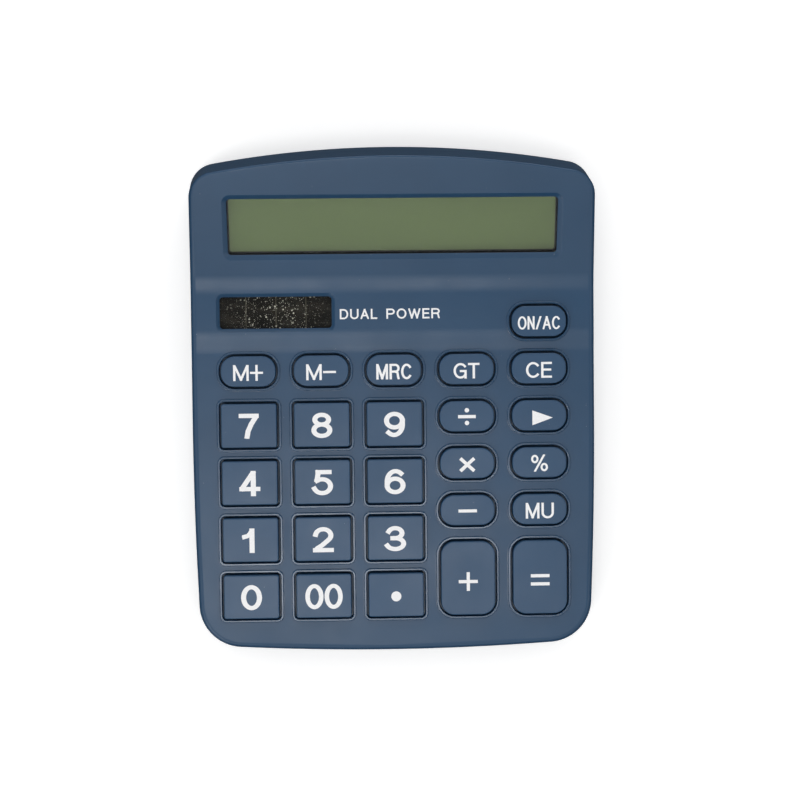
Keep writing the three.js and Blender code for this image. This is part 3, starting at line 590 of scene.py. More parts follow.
def clear_acrylic(name, roughness):
    """Clear sheet with hairline scratches and a slight waviness."""
    f = Finish(name)
    hairline = f.noise(2.2, 2, 0.5, f.stretched(4.0, 0.15, 1.0), 2.0)
    scratched = f.ramp(hairline, 0.68, 0.72)
    gloss = f.ramp(scratched, 0.0, 1.0, roughness, roughness + 0.12)
    normal = f.bump(f.noise(12, 2, seed=4.0), 0.01, 0.2)
    return f.done((0.93, 0.96, 0.94, 1.0), gloss, normal, IOR=1.49, Transmission_Weight=1.0)


def lcd_face(name):
    """A blank reflective LCD: grey-green, with faint banding and a finely mottled reflector."""
    f = Finish(name)
    base = srgb("5d6c43")
    reflector = f.noise(0.35, 5, 0.7, seed=1.0)
    cloud = f.noise(26, 3, 0.5, f.stretched(0.5, 1.6, 1.0), 2.0)
    tone = f.varied(cloud, base, 0.93, 1.05)
    tone = f.mix(f.ramp(reflector, 0.35, 0.65, 0.0, 0.25), tone, scaled(base, 0.88))
    gloss = f.between(reflector, 0.3, 0.42)
    return f.done(tone, gloss, f.bump(reflector, 0.003), Specular_IOR_Level=0.2)


def solar_face(name, low, high):
    """Amorphous silicon on glass: four cells parted by fine lines, brown-black, with pinholes."""
    f = Finish(name)
    along = f.x_share(low, high)
    cell = f.maths("FRACT", f.maths("MULTIPLY", along, SOLAR_CELLS))
    inside = f.maths("COMPARE", cell, 0.5)
    inside.node.inputs[2].default_value = 0.5 - SOLAR_LINE
    parted = f.maths("SUBTRACT", 1.0, inside)
    smear = f.noise(5, 4, 0.6, f.stretched(0.6, 1.6, 1.0), 7.0)
    tone = f.mix(f.ramp(smear, 0.35, 0.75), srgb("060504"), srgb("211b12"))
    tone = f.mix(f.maths("MULTIPLY", parted, 0.35), tone, srgb("8c8676"))
    hair = f.ramp(f.noise(1.4, 2, 0.5, f.stretched(3.0, 0.5, 1.0), 5.0), 0.735, 0.76)
    holes = f.maths("MAXIMUM", f.specks(0.55, 0.13, 0.75, 2.0), f.specks(1.3, 0.3, 0.4, 9.0))
    holes = f.maths("MAXIMUM", holes, hair)
    middle = f.maths("SUBTRACT", 0.5, f.maths("ABSOLUTE", f.maths("SUBTRACT", along, 0.5)))
    holes = f.maths("MULTIPLY", holes, f.ramp(middle, 0.05, 0.35))
    tone = f.mix(f.maths("MULTIPLY", holes, 0.9), tone, srgb("d9d4c6"))
    gloss = f.between(smear, 0.12, 0.3)
    return f.done(tone, gloss, f.bump(holes, 0.01), Specular_IOR_Level=0.2)


def metal(name, colour, roughness, seed=0.0):
    """Plated metal with fine drawing lines and dull patches."""
    f = Finish(name)
    lines = f.noise(0.2, 3, 0.6, f.stretched(1.0, 0.1, 1.0), seed)
    patch = f.noise(1.8, 3, 0.6, seed=seed + 1)
    tone = f.varied(patch, colour, 1.0, 0.7, 0.35)
    gloss = f.between(lines, roughness - 0.08, roughness + 0.1)
    return f.done(tone, gloss, f.bump(lines, 0.003), Metallic=1.0)


def soft_rubber(name, colour, seed=0.0):
    """Dull moulded rubber with a bloom on it."""
    f = Finish(name)
    bloom = f.noise(2.5, 5, 0.65, seed=seed)
    tone = f.mix(f.ramp(bloom, 0.4, 0.75, 0.0, 0.5), colour, scaled(colour, 1.8))
    gloss = f.between(bloom, 0.7, 0.85)
    return f.done(tone, gloss, f.bump(f.noise(0.3, 3, seed=seed + 1), 0.01))


def board_laminate(name):
    """Green solder mask over copper tracks."""
    f = Finish(name)
    tracks = f.node("ShaderNodeTexBrick", {
        "Vector": f.place, "Scale": 1 / (14 * MM), "Mortar Size": 0.03,
        "Color1": srgb("24532f"), "Color2": srgb("2a5e38"), "Mortar": srgb("3f8a52"),
    })
    weave = f.noise(0.4, 2, seed=2.0)
    tone = f.mix(f.between(weave, 0.0, 0.3), tracks.outputs["Color"], srgb("1c4427"))
    gloss = f.between(weave, 0.35, 0.5)
    return f.done(tone, gloss, f.bump(tracks.outputs["Fac"], 0.03))


def cell_sleeve(name, low, high):
    """A printed film sleeve: a dark body with a pale band towards the positive end."""
    f = Finish(name)
    along = f.x_share(low, high)
    band = f.maths("GREATER_THAN", along, 0.72)
    tone = f.mix(band, srgb("3a3d44"), srgb("c8b27a"))
    scuff = f.noise(3, 4, 0.6, f.stretched(0.3, 1.0, 1.0), 1.0)
    tone = f.mix(f.ramp(scuff, 0.55, 0.75, 0.0, 0.4), tone, srgb("8d8f93"))
    gloss = f.between(scuff, 0.22, 0.4)
    return f.done(tone, gloss, f.bump(scuff, 0.01))


def coated(name, colour, roughness, seed=0.0):
    """Smooth plastic or epoxy with slight unevenness."""
    f = Finish(name)
    uneven = f.noise(1.5, 3, 0.5, seed=seed)
    tone = f.varied(uneven, colour, 0.85, 1.1)
    gloss = f.between(uneven, roughness - 0.06, roughness + 0.08)
    return f.done(tone, gloss, f.bump(uneven, 0.02))


SHELL_BLUE = srgb("1f415f")
KEY_BLUE = srgb("224463")
SHELL = moulded_plastic("shell_blue_plastic", SHELL_BLUE, 0.36, seed=1.0)
KEYCAP = moulded_plastic("key_blue_plastic", KEY_BLUE, 0.35, grain_mm=0.004, seed=20.0, dust=0.03)
BEAD = moulded_plastic("polished_bead", SHELL_BLUE, 0.23, 0.001, 40.0, dust=0.0, mirror=0.7)
INK = printed_ink("white_ink", srgb("f4f4f5"))
RUBBER = soft_rubber("black_rubber", srgb("1b1b1c"), 12.0)
# painted shade: a near-black finish for the windows' inner walls and the frame round the LCD, where
# shadow falls
PAINTED_SHADE = soft_rubber("painted_shade_black", srgb("08080a"), 14.0)
COVER_FINISHES = (SHELL, INK, BEAD, PAINTED_SHADE)
ON_SHELL, ON_INK, ON_BEAD, ON_PAINTED_SHADE = range(4)  # the slots of those finishes
STEEL = metal("plated_steel", srgb("c3c6c9"), 0.3, 11.0)
CELL_LOW, CELL_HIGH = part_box("battery_cell")
SLEEVE = cell_sleeve("cell_sleeve", CELL_LOW.x, CELL_HIGH.x)

# ---- Body outline and blanks


def side_x(y, front_y):
    """Half width of the body at y, along its nearly straight side."""
    left = max(0.0, (TAPER_START_Y - y) / (TAPER_START_Y - front_y))
    return HALF_WIDTH - (HALF_WIDTH - FRONT_HALF_WIDTH) * left ** 2


def arc(centre_x, centre_y, radius, start, end, count):
    """Points on an arc with their outward normals."""
    made = []
    for i in range(count):
        angle = start + (end - start) * i / (count - 1)
        normal = Vector((math.cos(angle), math.sin(angle)))
        made.append((Vector((centre_x, centre_y)) + radius * normal, normal))
    return made


def side_levels(front_y, rear_y):
    """The y values along the side: an even spread, with more of them at the bends."""
    spread = [front_y + (rear_y - front_y) * i / SIDE_STEPS for i in range(1, SIDE_STEPS)]
    bends = [y + BEND_ROUNDING * share for y, _ in KNOTS[1:-1] for share in (-1, -0.5, 0, 0.5, 1)]
    clear = [y for y in spread if all(abs(y - bend) > 0.4 for bend in bends)]
    return sorted(clear + bends)


def half_outline():
    """The right half of the plan outline, from the middle of the front to the middle of the rear."""
    front_x = FRONT_HALF_WIDTH - FRONT_CORNER_RADIUS
    front_centre = FRONT_EDGE_RADIUS - HALF_LENGTH
    front_y = front_centre - math.sqrt((FRONT_EDGE_RADIUS - FRONT_CORNER_RADIUS) ** 2 - front_x ** 2)
    front_angle = math.atan2(front_y - front_centre, front_x)
    rear_x = HALF_WIDTH - REAR_CORNER_RADIUS
    rear_centre = HALF_LENGTH - REAR_EDGE_RADIUS
    rear_y = rear_centre + math.sqrt((REAR_EDGE_RADIUS - REAR_CORNER_RADIUS) ** 2 - rear_x ** 2)
    rear_angle = math.atan2(rear_y - rear_centre, rear_x)

    points = arc(0, front_centre, FRONT_EDGE_RADIUS, -math.pi / 2, front_angle, 24)
    points += arc(front_x, front_y, FRONT_CORNER_RADIUS, front_angle, 0, 22)[1:]
    for y in side_levels(front_y, rear_y):
        ahead = side_x(y + 0.01, front_y) - side_x(y - 0.01, front_y)
        normal = Vector((1.0, -ahead / 0.02)).normalized()
        points.append((Vector((side_x(y, front_y), y)), normal))
    points += arc(rear_x, rear_y, REAR_CORNER_RADIUS, 0, rear_angle, 18)
    points += arc(0, rear_centre, REAR_EDGE_RADIUS, rear_angle, math.pi / 2, 28)[1:]
    return points


HALF_OUTLINE = half_outline()


def smooth(t):
    t = min(1.0, max(0.0, t))
    return t * t * (3 - 2 * t)


def edge_reach(normal):
    """How far the rounding of the top edge reaches: less along the rear than elsewhere."""
    share = smooth(normal.y * 1.05)
    return EDGE_ROUNDING + (REAR_ROUNDING - EDGE_ROUNDING) * share


def mirrored_loop(right):
    """A closed loop from its right half, whose first and last points lie in the middle."""
    left = [(-x, y, z) for x, y, z in reversed(right[1:-1])]
    return right + left


def capped_rows(loops):
    """Faces that close the last of several mirrored loops with one strip for each row."""
    count = len(loops[0])
    half = count // 2
    start = (len(loops) - 1) * count
    right = [start + i for i in range(half + 1)]
    left = [start] + [start + count - i for i in range(1, half)] + [start + half]
    faces = [(right[0], right[1], left[1])]
    faces += [(right[i], right[i + 1], left[i + 1], left[i]) for i in range(1, half - 1)]
    faces.append((right[half - 1], right[half], left[half - 1]))
    return faces


def rowed_loft(name, loops):
    """A solid through mirrored loops: a flat first end, and a last end closed row by row."""
    points = [p for loop in loops for p in loop]
    first = tuple(range(len(loops[0])))
    return mesh_object(name, points, [first] + side_faces(loops) + capped_rows(loops))


def draw_in(point):
    """How far the wall draws in at a point of the outline for each millimetre that it rises."""
    across = point.x / HALF_WIDTH * math.tan(math.radians(SIDE_DRAFT))
    share = smooth((point.y - LEAN_START_Y) / (HALF_LENGTH - 2 * REAR_CORNER_RADIUS - LEAN_START_Y))
    return Vector((-across, -share * math.tan(math.radians(REAR_LEAN))))


def crease(point, drop):
    """Where the leaning wall would meet the top face, and how high that is over the parting line."""
    at = point
    for _ in range(8):  # each pass comes closer, since one depends on the other
        rise = top_height(at.y) - drop - parting_height(point.y)
        at = point + draw_in(point) * rise
    return at, rise


def upper_blank(name, inset, drop, rounding):
    """The body above the parting line, drawn in by inset and lowered by drop."""
    steps = ROUNDING_STEPS if rounding else 0
    loops = [[] for _ in range(3 + steps)]
    for point, normal in HALF_OUTLINE:
        point = point - normal * inset
        base = parting_height(point.y) + (GAP / 2 if rounding else -1.0)
        edge, rise = crease(point, drop)
        reach = edge_reach(normal) if rounding else 0.3
        foot = point + draw_in(point) * (base - parting_height(point.y))
        below = point + draw_in(point) * (rise - reach)
        inner = edge - normal * reach
        low = Vector((*below, parting_height(point.y) + rise - reach))
        corner = Vector((*edge, top_height(edge.y) - drop))
        high = Vector((*inner, top_height(inner.y) - drop))
        loops[0].append((*foot, base))
        loops[1].append(low)
        for step in range(steps):
            angle = math.pi / 2 * (step + 1) / (steps + 1)
            down = (low - corner) * (1 - math.sin(angle))
            loops[2 + step].append(corner + down + (high - corner) * (1 - math.cos(angle)))
        loops[2 + steps].append(high)
    return rowed_loft(name, [mirrored_loop(loop) for loop in loops])


def lower_blank(name, inset, bottom, over, rounding=0.0):
    """The body from a flat bottom up to a height of over from the parting line."""
    steps = ROUNDING_STEPS - 1 if rounding else 0
    loops = [[] for _ in range(2 + steps)]
    for point, normal in HALF_OUTLINE:
        point = point - normal * inset
        loops[0].append((*point, parting_height(point.y) + over))
        for step in range(steps + 1):
            angle = math.pi / 2 * step / max(steps, 1)
            at = point - normal * rounding * (1 - math.cos(angle))
            loops[1 + step].append((*at, bottom + rounding * (1 - math.sin(angle))))
    return rowed_loft(name, [mirrored_loop(loop) for loop in loops])


# ---- Keys


def key_place(node):
    """Where a key's centre lies on the face round it, with the key's (width, height)."""
    low, high = tilted_box(node, KEYPAD_SLOPE)
    around = 2 * (KEY_GAP + FLANGE_WIDTH)
    size = (high.x - low.x - around, high.y - low.y - around)
    return tilt(KEYPAD_SLOPE) @ centred(low, high, high.z - KEY_RISE), size


def key_radius(size):
    """Digit keys are nearly square-cornered; function keys end in half rounds or wide corners."""
    is_digit = abs(size[1] - DIGIT_KEY_HEIGHT) < KEY_GAP
    return DIGIT_KEY_RADIUS if is_digit else FUNCTION_KEY_RADIUS


def quarter(centre, reach, bottom, rise, start, end, count):
    """(grow, z) levels round a quarter of an ellipse."""
    levels = []
    for i in range(count + 1):
        angle = math.radians(start + (end - start) * i / count)
        levels.append((centre + reach * math.cos(angle), bottom + rise * math.sin(angle)))
    return levels


def rim(node):
    """The raised bead round a key's opening, solid across the opening."""
    matrix, size = key_place(node)
    outer = KEY_GAP + RIM_WIDTH
    reach = (RIM_WIDTH - RIM_CREST) / 2
    skirt = outer + RIM_SKIRT
    levels = [(skirt, -1.0), (skirt, 0.0), (outer + 0.05, 0.03)]
    levels += quarter(outer - reach, reach, RIM_FOOT, RIM_RISE - RIM_FOOT, 0, 90, 5)
    return stack("rim", (*size, key_radius(size)), levels, matrix)


def opening(node):
    """The tool that cuts a key's opening and rounds the inside of its bead."""
    matrix, size = key_place(node)
    reach = (RIM_WIDTH - RIM_CREST) / 2
    below, above = OPENING_REACH
    clear = KEY_GAP + reach + 0.02
    bend = quarter(KEY_GAP + reach, reach, RIM_FOOT, RIM_RISE - RIM_FOOT, 180, 96, 5)
    levels = [(KEY_GAP, below), *bend, (clear, RIM_RISE + 0.01), (clear, above)]
    return stack("opening", (*size, key_radius(size)), levels, matrix)


def key_cap(node):
    """A cap with softened top edges, a flange below the case and a hollow underside."""
    matrix, size = key_place(node)
    low, high = tilted_box(node, KEYPAD_SLOPE)
    bottom = low.z - (high.z - KEY_RISE)
    top = bottom + FLANGE
    grow = KEY_GAP + FLANGE_WIDTH
    edge = quarter(-KEY_TAPER - KEY_EDGE, KEY_EDGE, KEY_RISE - KEY_EDGE, KEY_EDGE, 0, 90, 6)
    levels = [(grow, bottom), (grow, top), (0.0, top), (0.0, -TOP_WALL - GAP), *edge]
    shape = (*size, key_radius(size))
    cap = stack(node + "_cap", shape, levels, matrix)
    hollow = [(-CAP_WALL, bottom - 1), (-CAP_WALL, KEY_RISE - CAP_WALL)]
    cut(cap, stack("hollow", shape, hollow, matrix))
    plunger = [(PLUNGER_RADIUS, bottom), (PLUNGER_RADIUS, KEY_RISE - CAP_WALL / 2)]
    return join(cap, turned("plunger", plunger, matrix))


# ---- Legends, drawn as strokes in a unit box


def bow(x, y, reach_x, reach_y, start, end):
    """Points along an ellipse from start to end, in degrees."""
    count = max(4, round(abs(end - start) / 9))
    turn = [math.radians(start + (end - start) * i / count) for i in range(count + 1)]
    return [(x + reach_x * math.cos(a), y + reach_y * math.sin(a)) for a in turn]


STEM = [(0, 0), (0, 1)]
TOP = [(0, 1), (1, 1)]
BASE = [(0, 0), (1, 0)]
MIDDLE = [(0, 0.5), (1, 0.5)]
LOOP = bow(0.5, 0.5, 0.5, 0.5, 0, 360)
SIX_BOWL = bow(0.5, 0.32, 0.5, 0.32, 0, 360)
SIX_BACK = bow(0.53, 0.5, 0.53, 0.5, 50, 180) + [(0.0, 0.34)]
GLYPHS = {
    "0": [LOOP],
    "1": [[(0, 0.69), (0.4, 0.73), (0.75, 0.84), (1, 1)], [(1, 1), (1, 0)]],
    "2": [bow(0.5, 0.7, 0.48, 0.3, 172, -28) + [(0.76, 0.44), (0.4, 0.22), (0.12, 0.09), (0.02, 0)],
          BASE],
    "3": [bow(0.47, 0.76, 0.43, 0.24, 160, -90), bow(0.47, 0.26, 0.53, 0.26, 90, -160),
          [(0.32, 0.52), (0.5, 0.52)]],
    "4": [[(0.72, 1), (0.72, 0)], [(0.68, 1), (0.02, 0.26)], [(0, 0.24), (1, 0.24)]],
    "5": [[(0.22, 1), (0.92, 1)], [(0.24, 1), (0.16, 0.62)], bow(0.48, 0.33, 0.52, 0.33, 127, -160)],
    "6": [SIX_BOWL, SIX_BACK],
    "7": [TOP, [(1, 0.99), (0.66, 0.6), (0.44, 0.25), (0.38, 0)]],
    "8": [bow(0.5, 0.77, 0.43, 0.23, 0, 360), bow(0.5, 0.27, 0.5, 0.27, 0, 360)],
    "9": [[(1 - x, 1 - y) for x, y in SIX_BOWL], [(1 - x, 1 - y) for x, y in SIX_BACK]],
    "A": [[(0, 0), (0.5, 1)], [(0.5, 1), (1, 0)], [(0.17, 0.32), (0.83, 0.32)]],
    "C": [bow(0.54, 0.5, 0.54, 0.5, 42, 318)],
    "D": [STEM, [(0, 1), (0.4, 1)] + bow(0.45, 0.5, 0.55, 0.5, 80, -80) + [(0.4, 0), (0, 0)]],
    "E": [STEM, TOP, [(0, 0.52), (0.92, 0.52)], BASE],
    "G": [bow(0.54, 0.5, 0.54, 0.5, 42, 325), [(0.58, 0.48), (1, 0.48)], [(1, 0.48), (1, 0)]],
    "L": [[(0, 1), (0, 0)], BASE],
    "M": [STEM, [(0.03, 1), (0.5, 0.02)], [(0.5, 0.02), (0.97, 1)], [(1, 1), (1, 0)]],
    "N": [STEM, [(0.03, 1), (0.97, 0)], [(1, 0), (1, 1)]],
    "O": [LOOP],
    "P": [STEM, [(0, 1), (0.6, 1)] + bow(0.62, 0.74, 0.38, 0.26, 80, -80) + [(0.6, 0.48), (0, 0.48)]],
    "R": [STEM, [(0, 1), (0.6, 1)] + bow(0.62, 0.75, 0.38, 0.25, 80, -80) + [(0.6, 0.5), (0, 0.5)],
          [(0.6, 0.5), (0.88, 0.4), (0.94, 0.12), (1, 0)]],
    "T": [TOP, [(0.5, 1), (0.5, 0)]],
    "U": [[(0, 1), (0, 0.34)] + bow(0.5, 0.34, 0.5, 0.34, 190, 350) + [(1, 0.34), (1, 1)]],
    "W": [[(0, 1), (0.25, 0)], [(0.25, 0), (0.5, 0.95)], [(0.5, 0.95), (0.75, 0)], [(0.75, 0), (1, 1)]],
    "/": [[(0, -0.08), (1, 1.08)]],
    "+": [MIDDLE, [(0.5, 0), (0.5, 1)]],
    "-": [MIDDLE],
    "=": [TOP, BASE],
    "x": [[(0, 0), (1, 1)], [(0, 1), (1, 0)]],
    "%": [bow(0.18, 0.77, 0.18, 0.21, 0, 360), bow(0.82, 0.23, 0.18, 0.21, 0, 360),
          [(0.2, -0.02), (0.8, 1.02)]],
}


def prism(outlines, matrix):
    """A thin closed solid between matching left and right edges, or inside one outline."""
    bottom, top = -LEGEND_DEPTH, LEGEND_RISE
    if len(outlines) == 1:
        return loft("ink", [[(x, y, z) for x, y in outlines[0]] for z in (bottom, top)], matrix)
    left, right = outlines
    closed = (left[0] - left[-1]).length < TOUCHING
    if closed:
        left, right = left[:-1], right[:-1]
    count = len(left)
    points = [(x, y, z) for edge in (left, right) for z in (bottom, top) for x, y in edge]
    faces = []
    for i in range(count if closed else count - 1):
        j = (i + 1) % count
        for a, b in ((0, 1), (1, 3), (3, 2), (2, 0)):
            faces.append((a * count + i, a * count + j, b * count + j, b * count + i))
    if not closed:
        for i in (0, count - 1):
            faces.append((i, count + i, 3 * count + i, 2 * count + i))
    return mesh_object("ink", points, faces, matrix)


def stroke(points, thickness, matrix):
    """A line of ink. thickness is (across upright strokes, across level strokes)."""
    path = [Vector(p) for p in points]
    closed = (path[0] - path[-1]).length < TOUCHING
    if not closed:
        for end, inner in ((0, 1), (-1, -2)):
            out = (path[end] - path[inner]).normalized()
            path[end] = path[end] + Vector((out.x * thickness[0], out.y * thickness[1])) / 2
    left, right = [], []
    last = len(path) - 1
    for i, at in enumerate(path):
        before = path[i - 1] if i else (path[-2] if closed else at)
        after = path[i + 1] if i < last else (path[1] if closed else at)
        along = (after - before).normalized()
        across = Vector((-along.y * thickness[0], along.x * thickness[1])) / 2
        left.append(at + across)
        right.append(at - across)
    return prism((left, right), matrix)


def glyph(character, width, height, thickness, matrix):
    """One character's ink, trimmed to a box with its lower left corner at the origin."""
    across, level = thickness
    if character == ".":
        return [prism([bow(width / 2, width / 2, width / 2, width / 2, 0, 360)[:-1]], matrix)]
    if character == ">":
        return [prism([[(0, 0), (width, height / 2), (0, height)]], matrix)]
    if character == ":":
        dots = [bow(width / 2, y, 0.66, 0.66, 0, 360)[:-1] for y in (0.66, height - 0.66)]
        bar = stroke([(0.6, height / 2), (width - 0.6, height / 2)], thickness, matrix)
        return [bar] + [prism([dot], matrix) for dot in dots]
    reach_x, reach_y = width - across, height - level
    made = []
    for points in GLYPHS[character]:
        ends = [(across / 2 + x * reach_x, level / 2 + y * reach_y) for x, y in points]
        made.append(stroke(ends, thickness, matrix))
    ink = made[0]
    for item in made[1:]:
        join(ink, item)
    if character in TRIMMED:
        keep(ink, block("trim", (0, 0, -1), (width, height, 1), matrix))
    return [ink]


def lettering(name, text, widths, height, thickness, spacing, matrix, centre=(0.0, 0.0)):
    """A row of characters centred on a point of the face, joined into one solid."""
    total = sum(widths) + spacing * (len(text) - 1)
    x = centre[0] - total / 2
    y = centre[1] - height / 2
    strokes = []
    for character, width in zip(text, widths):
        if character != " ":
            strokes += glyph(character, width, height, thickness, matrix @ place(x, y, 0))
        x += width + spacing
    ink = strokes[0]
    for item in strokes[1:]:
        join(ink, item)
    ink.name = name
    return ink


# text, the width of each character, height, stroke thickness, spacing, centre on the key
LEGENDS = {
    "key_m_plus": ("M+", (4.6, 3.8), 4.7, THIN, 0.4, (0, -0.4)),
    "key_m_minus": ("M-", (4.6, 3.8), 4.7, THIN, 0.4, (0, -0.4)),
    "key_mrc": ("MRC", (3.5, 3.0, 3.1), 4.6, THIN, 0.42, (0, -0.5)),
    "key_gt": ("GT", (3.9, 3.4), 4.6, THIN, 0.4, (0, -0.5)),
    "key_ce": ("CE", (4.0, 3.2), 4.7, THIN, 0.5, (0, -0.5)),
    "key_divide": (":", (5.5,), 5.1, (0.95, 0.95), 0, (0, -0.1)),
    "key_backspace": (">", (6.1,), 4.4, BOLD, 0, (1.0, -0.7)),
    "key_times": ("x", (4.4,), 4.1, (1.0, 1.0), 0, (0, -0.4)),
    "key_percent": ("%", (5.0,), 5.1, (0.62, 0.6), 0, (0, -0.2)),
    "key_minus": ("-", (5.5,), 0.9, (0.9, 0.9), 0, (0, -0.2)),
    "key_mu": ("MU", (4.1, 3.7), 4.7, THIN, 0.6, (0, -0.4)),
    "key_plus": ("+", (5.7,), 5.6, (0.95, 0.95), 0, (0, -1.0)),
    "key_equals": ("=", (5.6,), 3.4, (0.95, 0.95), 0, (0, -0.8)),
    "key_on_ac": ("ON/AC", (2.6, 2.1, 1.8, 2.5, 2.4), 3.9, (0.56, 0.52), 0.28, (0, -0.5)),
    "key_00": ("00", (5.4, 5.4), 7.5, (1.35, 1.2), 0.3, (0, -0.1)),
    "key_point": (".", (3.0,), 3.0, DIGIT, 0, (0, -0.4)),
    "key_7": ("7", (5.9,), 7.4, DIGIT, 0, (0, -0.1)),
    "key_1": ("1", (3.7,), 7.3, DIGIT, 0, (-0.7, -0.1)),
}
for digit in "02345689":
    LEGENDS["key_" + digit] = (digit, (6.2,), 7.5, DIGIT, 0, (0, -0.1))


def on_slot(made, index):
    """Gives a piece all the finishes and puts every face of it on one of them."""
    paint(made, *COVER_FINISHES)
    for face in made.data.polygons:
        face.material_index = index
    return made


def make_key(node):
    """One key with its printed legend, on its own body."""
    cap = key_cap(node)
    matrix, _ = key_place(node)
    text, widths, height, thickness, spacing, centre = LEGENDS[node]
    top = matrix @ place(0, 0, KEY_RISE)
    ink = lettering("ink", text, widths, height, thickness, spacing, top, centre)
    join(on_slot(cap, ON_SHELL), on_slot(ink, ON_INK))
    return finished(cap, (KEYCAP,), "key_plastic", node, node)


# ---- Covers


def face_centre(node, slope):
    """Where a window's centre lies on the face over it."""
    low, high = tilted_box(node, slope)
    return tilt(slope) @ centred(low, high, high.z + WINDOW_DEPTH)


def display_centre():
    return face_centre("display_window", DISPLAY_SLOPE) @ place(0, DISPLAY_SHIFT, 0)


def funnel(name, aperture, bevel, matrix):
    """The tool that cuts a window, with a softened bevel round its mouth; the wall below the bevel is
    painted near-black as shade.
    """
    width, depth = bevel
    below, above = WINDOW_REACH
    soft = WINDOW_SOFTENING
    drop = soft * depth / width
    levels = [
        (0.0, below), (0.0, -depth - soft), (0.03, -depth - 0.2 * soft), (soft, drop - depth),
        (width - soft, -drop), (width, -0.02), (width + soft, 0.012), (width + 2 * soft, 0.3),
        (width + 2 * soft, above),
    ]
    tool = on_slot(stack(name, aperture, levels, matrix), ON_SHELL)
    unturn = matrix.inverted()
    # the window's inner wall below the bevel gets the near-black painted shade
    for face in tool.data.polygons:
        if (unturn @ face.center).z < -depth:
            face.material_index = ON_PAINTED_SHADE
    return tool


def make_painted_shade_frame():
    """A near-black frame between the display window and the LCD; its inner edge round the LCD is painted
    shadow.
    """
    glass_top = tilted_box("lcd_glass", DISPLAY_SLOPE)[1].z
    matrix = display_centre() @ place(0, 0, glass_top - DISPLAY_LEVEL)
    sheet = [(SHADE_FRAME_OUTSET, SHADE_FRAME_GAP), (SHADE_FRAME_OUTSET, SHADE_FRAME_GAP + SHADE_FRAME_THICKNESS)]
    shade_frame = stack("display_painted_shade_frame", DISPLAY_APERTURE, sheet, matrix)
    hole = stack("hole", DISPLAY_APERTURE, [(-SHADE_FRAME_INSET, -1.0), (-SHADE_FRAME_INSET, 1.0)], matrix)
    cut(shade_frame, hole)
    return finished(shade_frame, (PAINTED_SHADE,), "frame_plastic", CASE)


def boss_top(y):
    return parting_height(y) - BOSS_DROP


def post(x, y, radius, bottom, top):
    return turned("post", [(radius, bottom), (radius, top)], place(x, y, 0))


def mouth(radius):
    """The start of a profile that cuts a hole in the underside, with a chamfer round it."""
    wide = radius + HOLE_CHAMFER
    return [(wide, 0), (wide, FLOOR_Z), (radius, FLOOR_Z + HOLE_CHAMFER)]


def make_front_cover():
    cover = upper_blank("front_cover_shell", 0.0, 0.0, EDGE_ROUNDING)
    join(on_slot(cover, ON_SHELL), *[on_slot(rim(node), ON_BEAD) for node in KEY_NODES])
    cavity = upper_blank("cavity", WALL, TOP_WALL, 0.0)
    posts = [post(x, y, POST_RADIUS, boss_top(y) + GAP, HALF_WIDTH) for x, y in SCREW_PLACES]
    cut(cavity, *posts)
    cut(cover, cavity)
    cut(cover, *[on_slot(opening(node), ON_SHELL) for node in KEY_NODES])
    display = funnel("display", DISPLAY_APERTURE, DISPLAY_BEVEL, display_centre())
    solar_centre = face_centre("solar_window", KEYPAD_SLOPE)
    cut(cover, display, funnel("solar", SOLAR_APERTURE, SOLAR_BEVEL, solar_centre))
    ledge = tilt(KEYPAD_SLOPE) @ place(*PRINT_CENTRE, LEDGE_LEVEL)
    widths = [PRINT_WIDTHS.get(letter, PRINT_WIDTHS["other"]) for letter in PRINT_TEXT]
    ink = lettering("print", PRINT_TEXT, widths, PRINT_HEIGHT, PRINT_STROKE, PRINT_SPACING, ledge)
    join(cover, on_slot(ink, ON_INK))
    return finished(cover, COVER_FINISHES, "case_plastic", CASE, "front_cover")


def lip():
    """The low wall inside the parting line that the front cover drops over."""
    ring = lower_blank("lip", LIP_INSET, FLOOR_Z + FLOOR / 2, LIP_HEIGHT)
    cut(ring, lower_blank("lip_room", LIP_INSET + LIP_THICKNESS, 0, FAR))
    return cut(ring, *[post(x, y, POST_RADIUS + GAP, boss_top(y), FAR) for x, y in SCREW_PLACES])


def inner_walls():
    """Screw bosses and the rails over the door's slot, kept inside the side walls."""
    bottom = FLOOR_Z + FLOOR / 2
    rail_x = DOOR_HALF_WIDTH + DOOR_TONGUE + RAIL
    rail_top = FLOOR_Z + DOOR + GAP + RAIL_ROOF
    walls = block("rails", (-rail_x, DOOR_FRONT_Y - RAIL, bottom), (rail_x, FAR, rail_top))
    join(walls, *[post(x, y, BOSS_RADIUS, bottom, boss_top(y)) for x, y in SCREW_PLACES])
    return keep(walls, lower_blank("inside", WALL / 2, bottom, -GAP / 2))


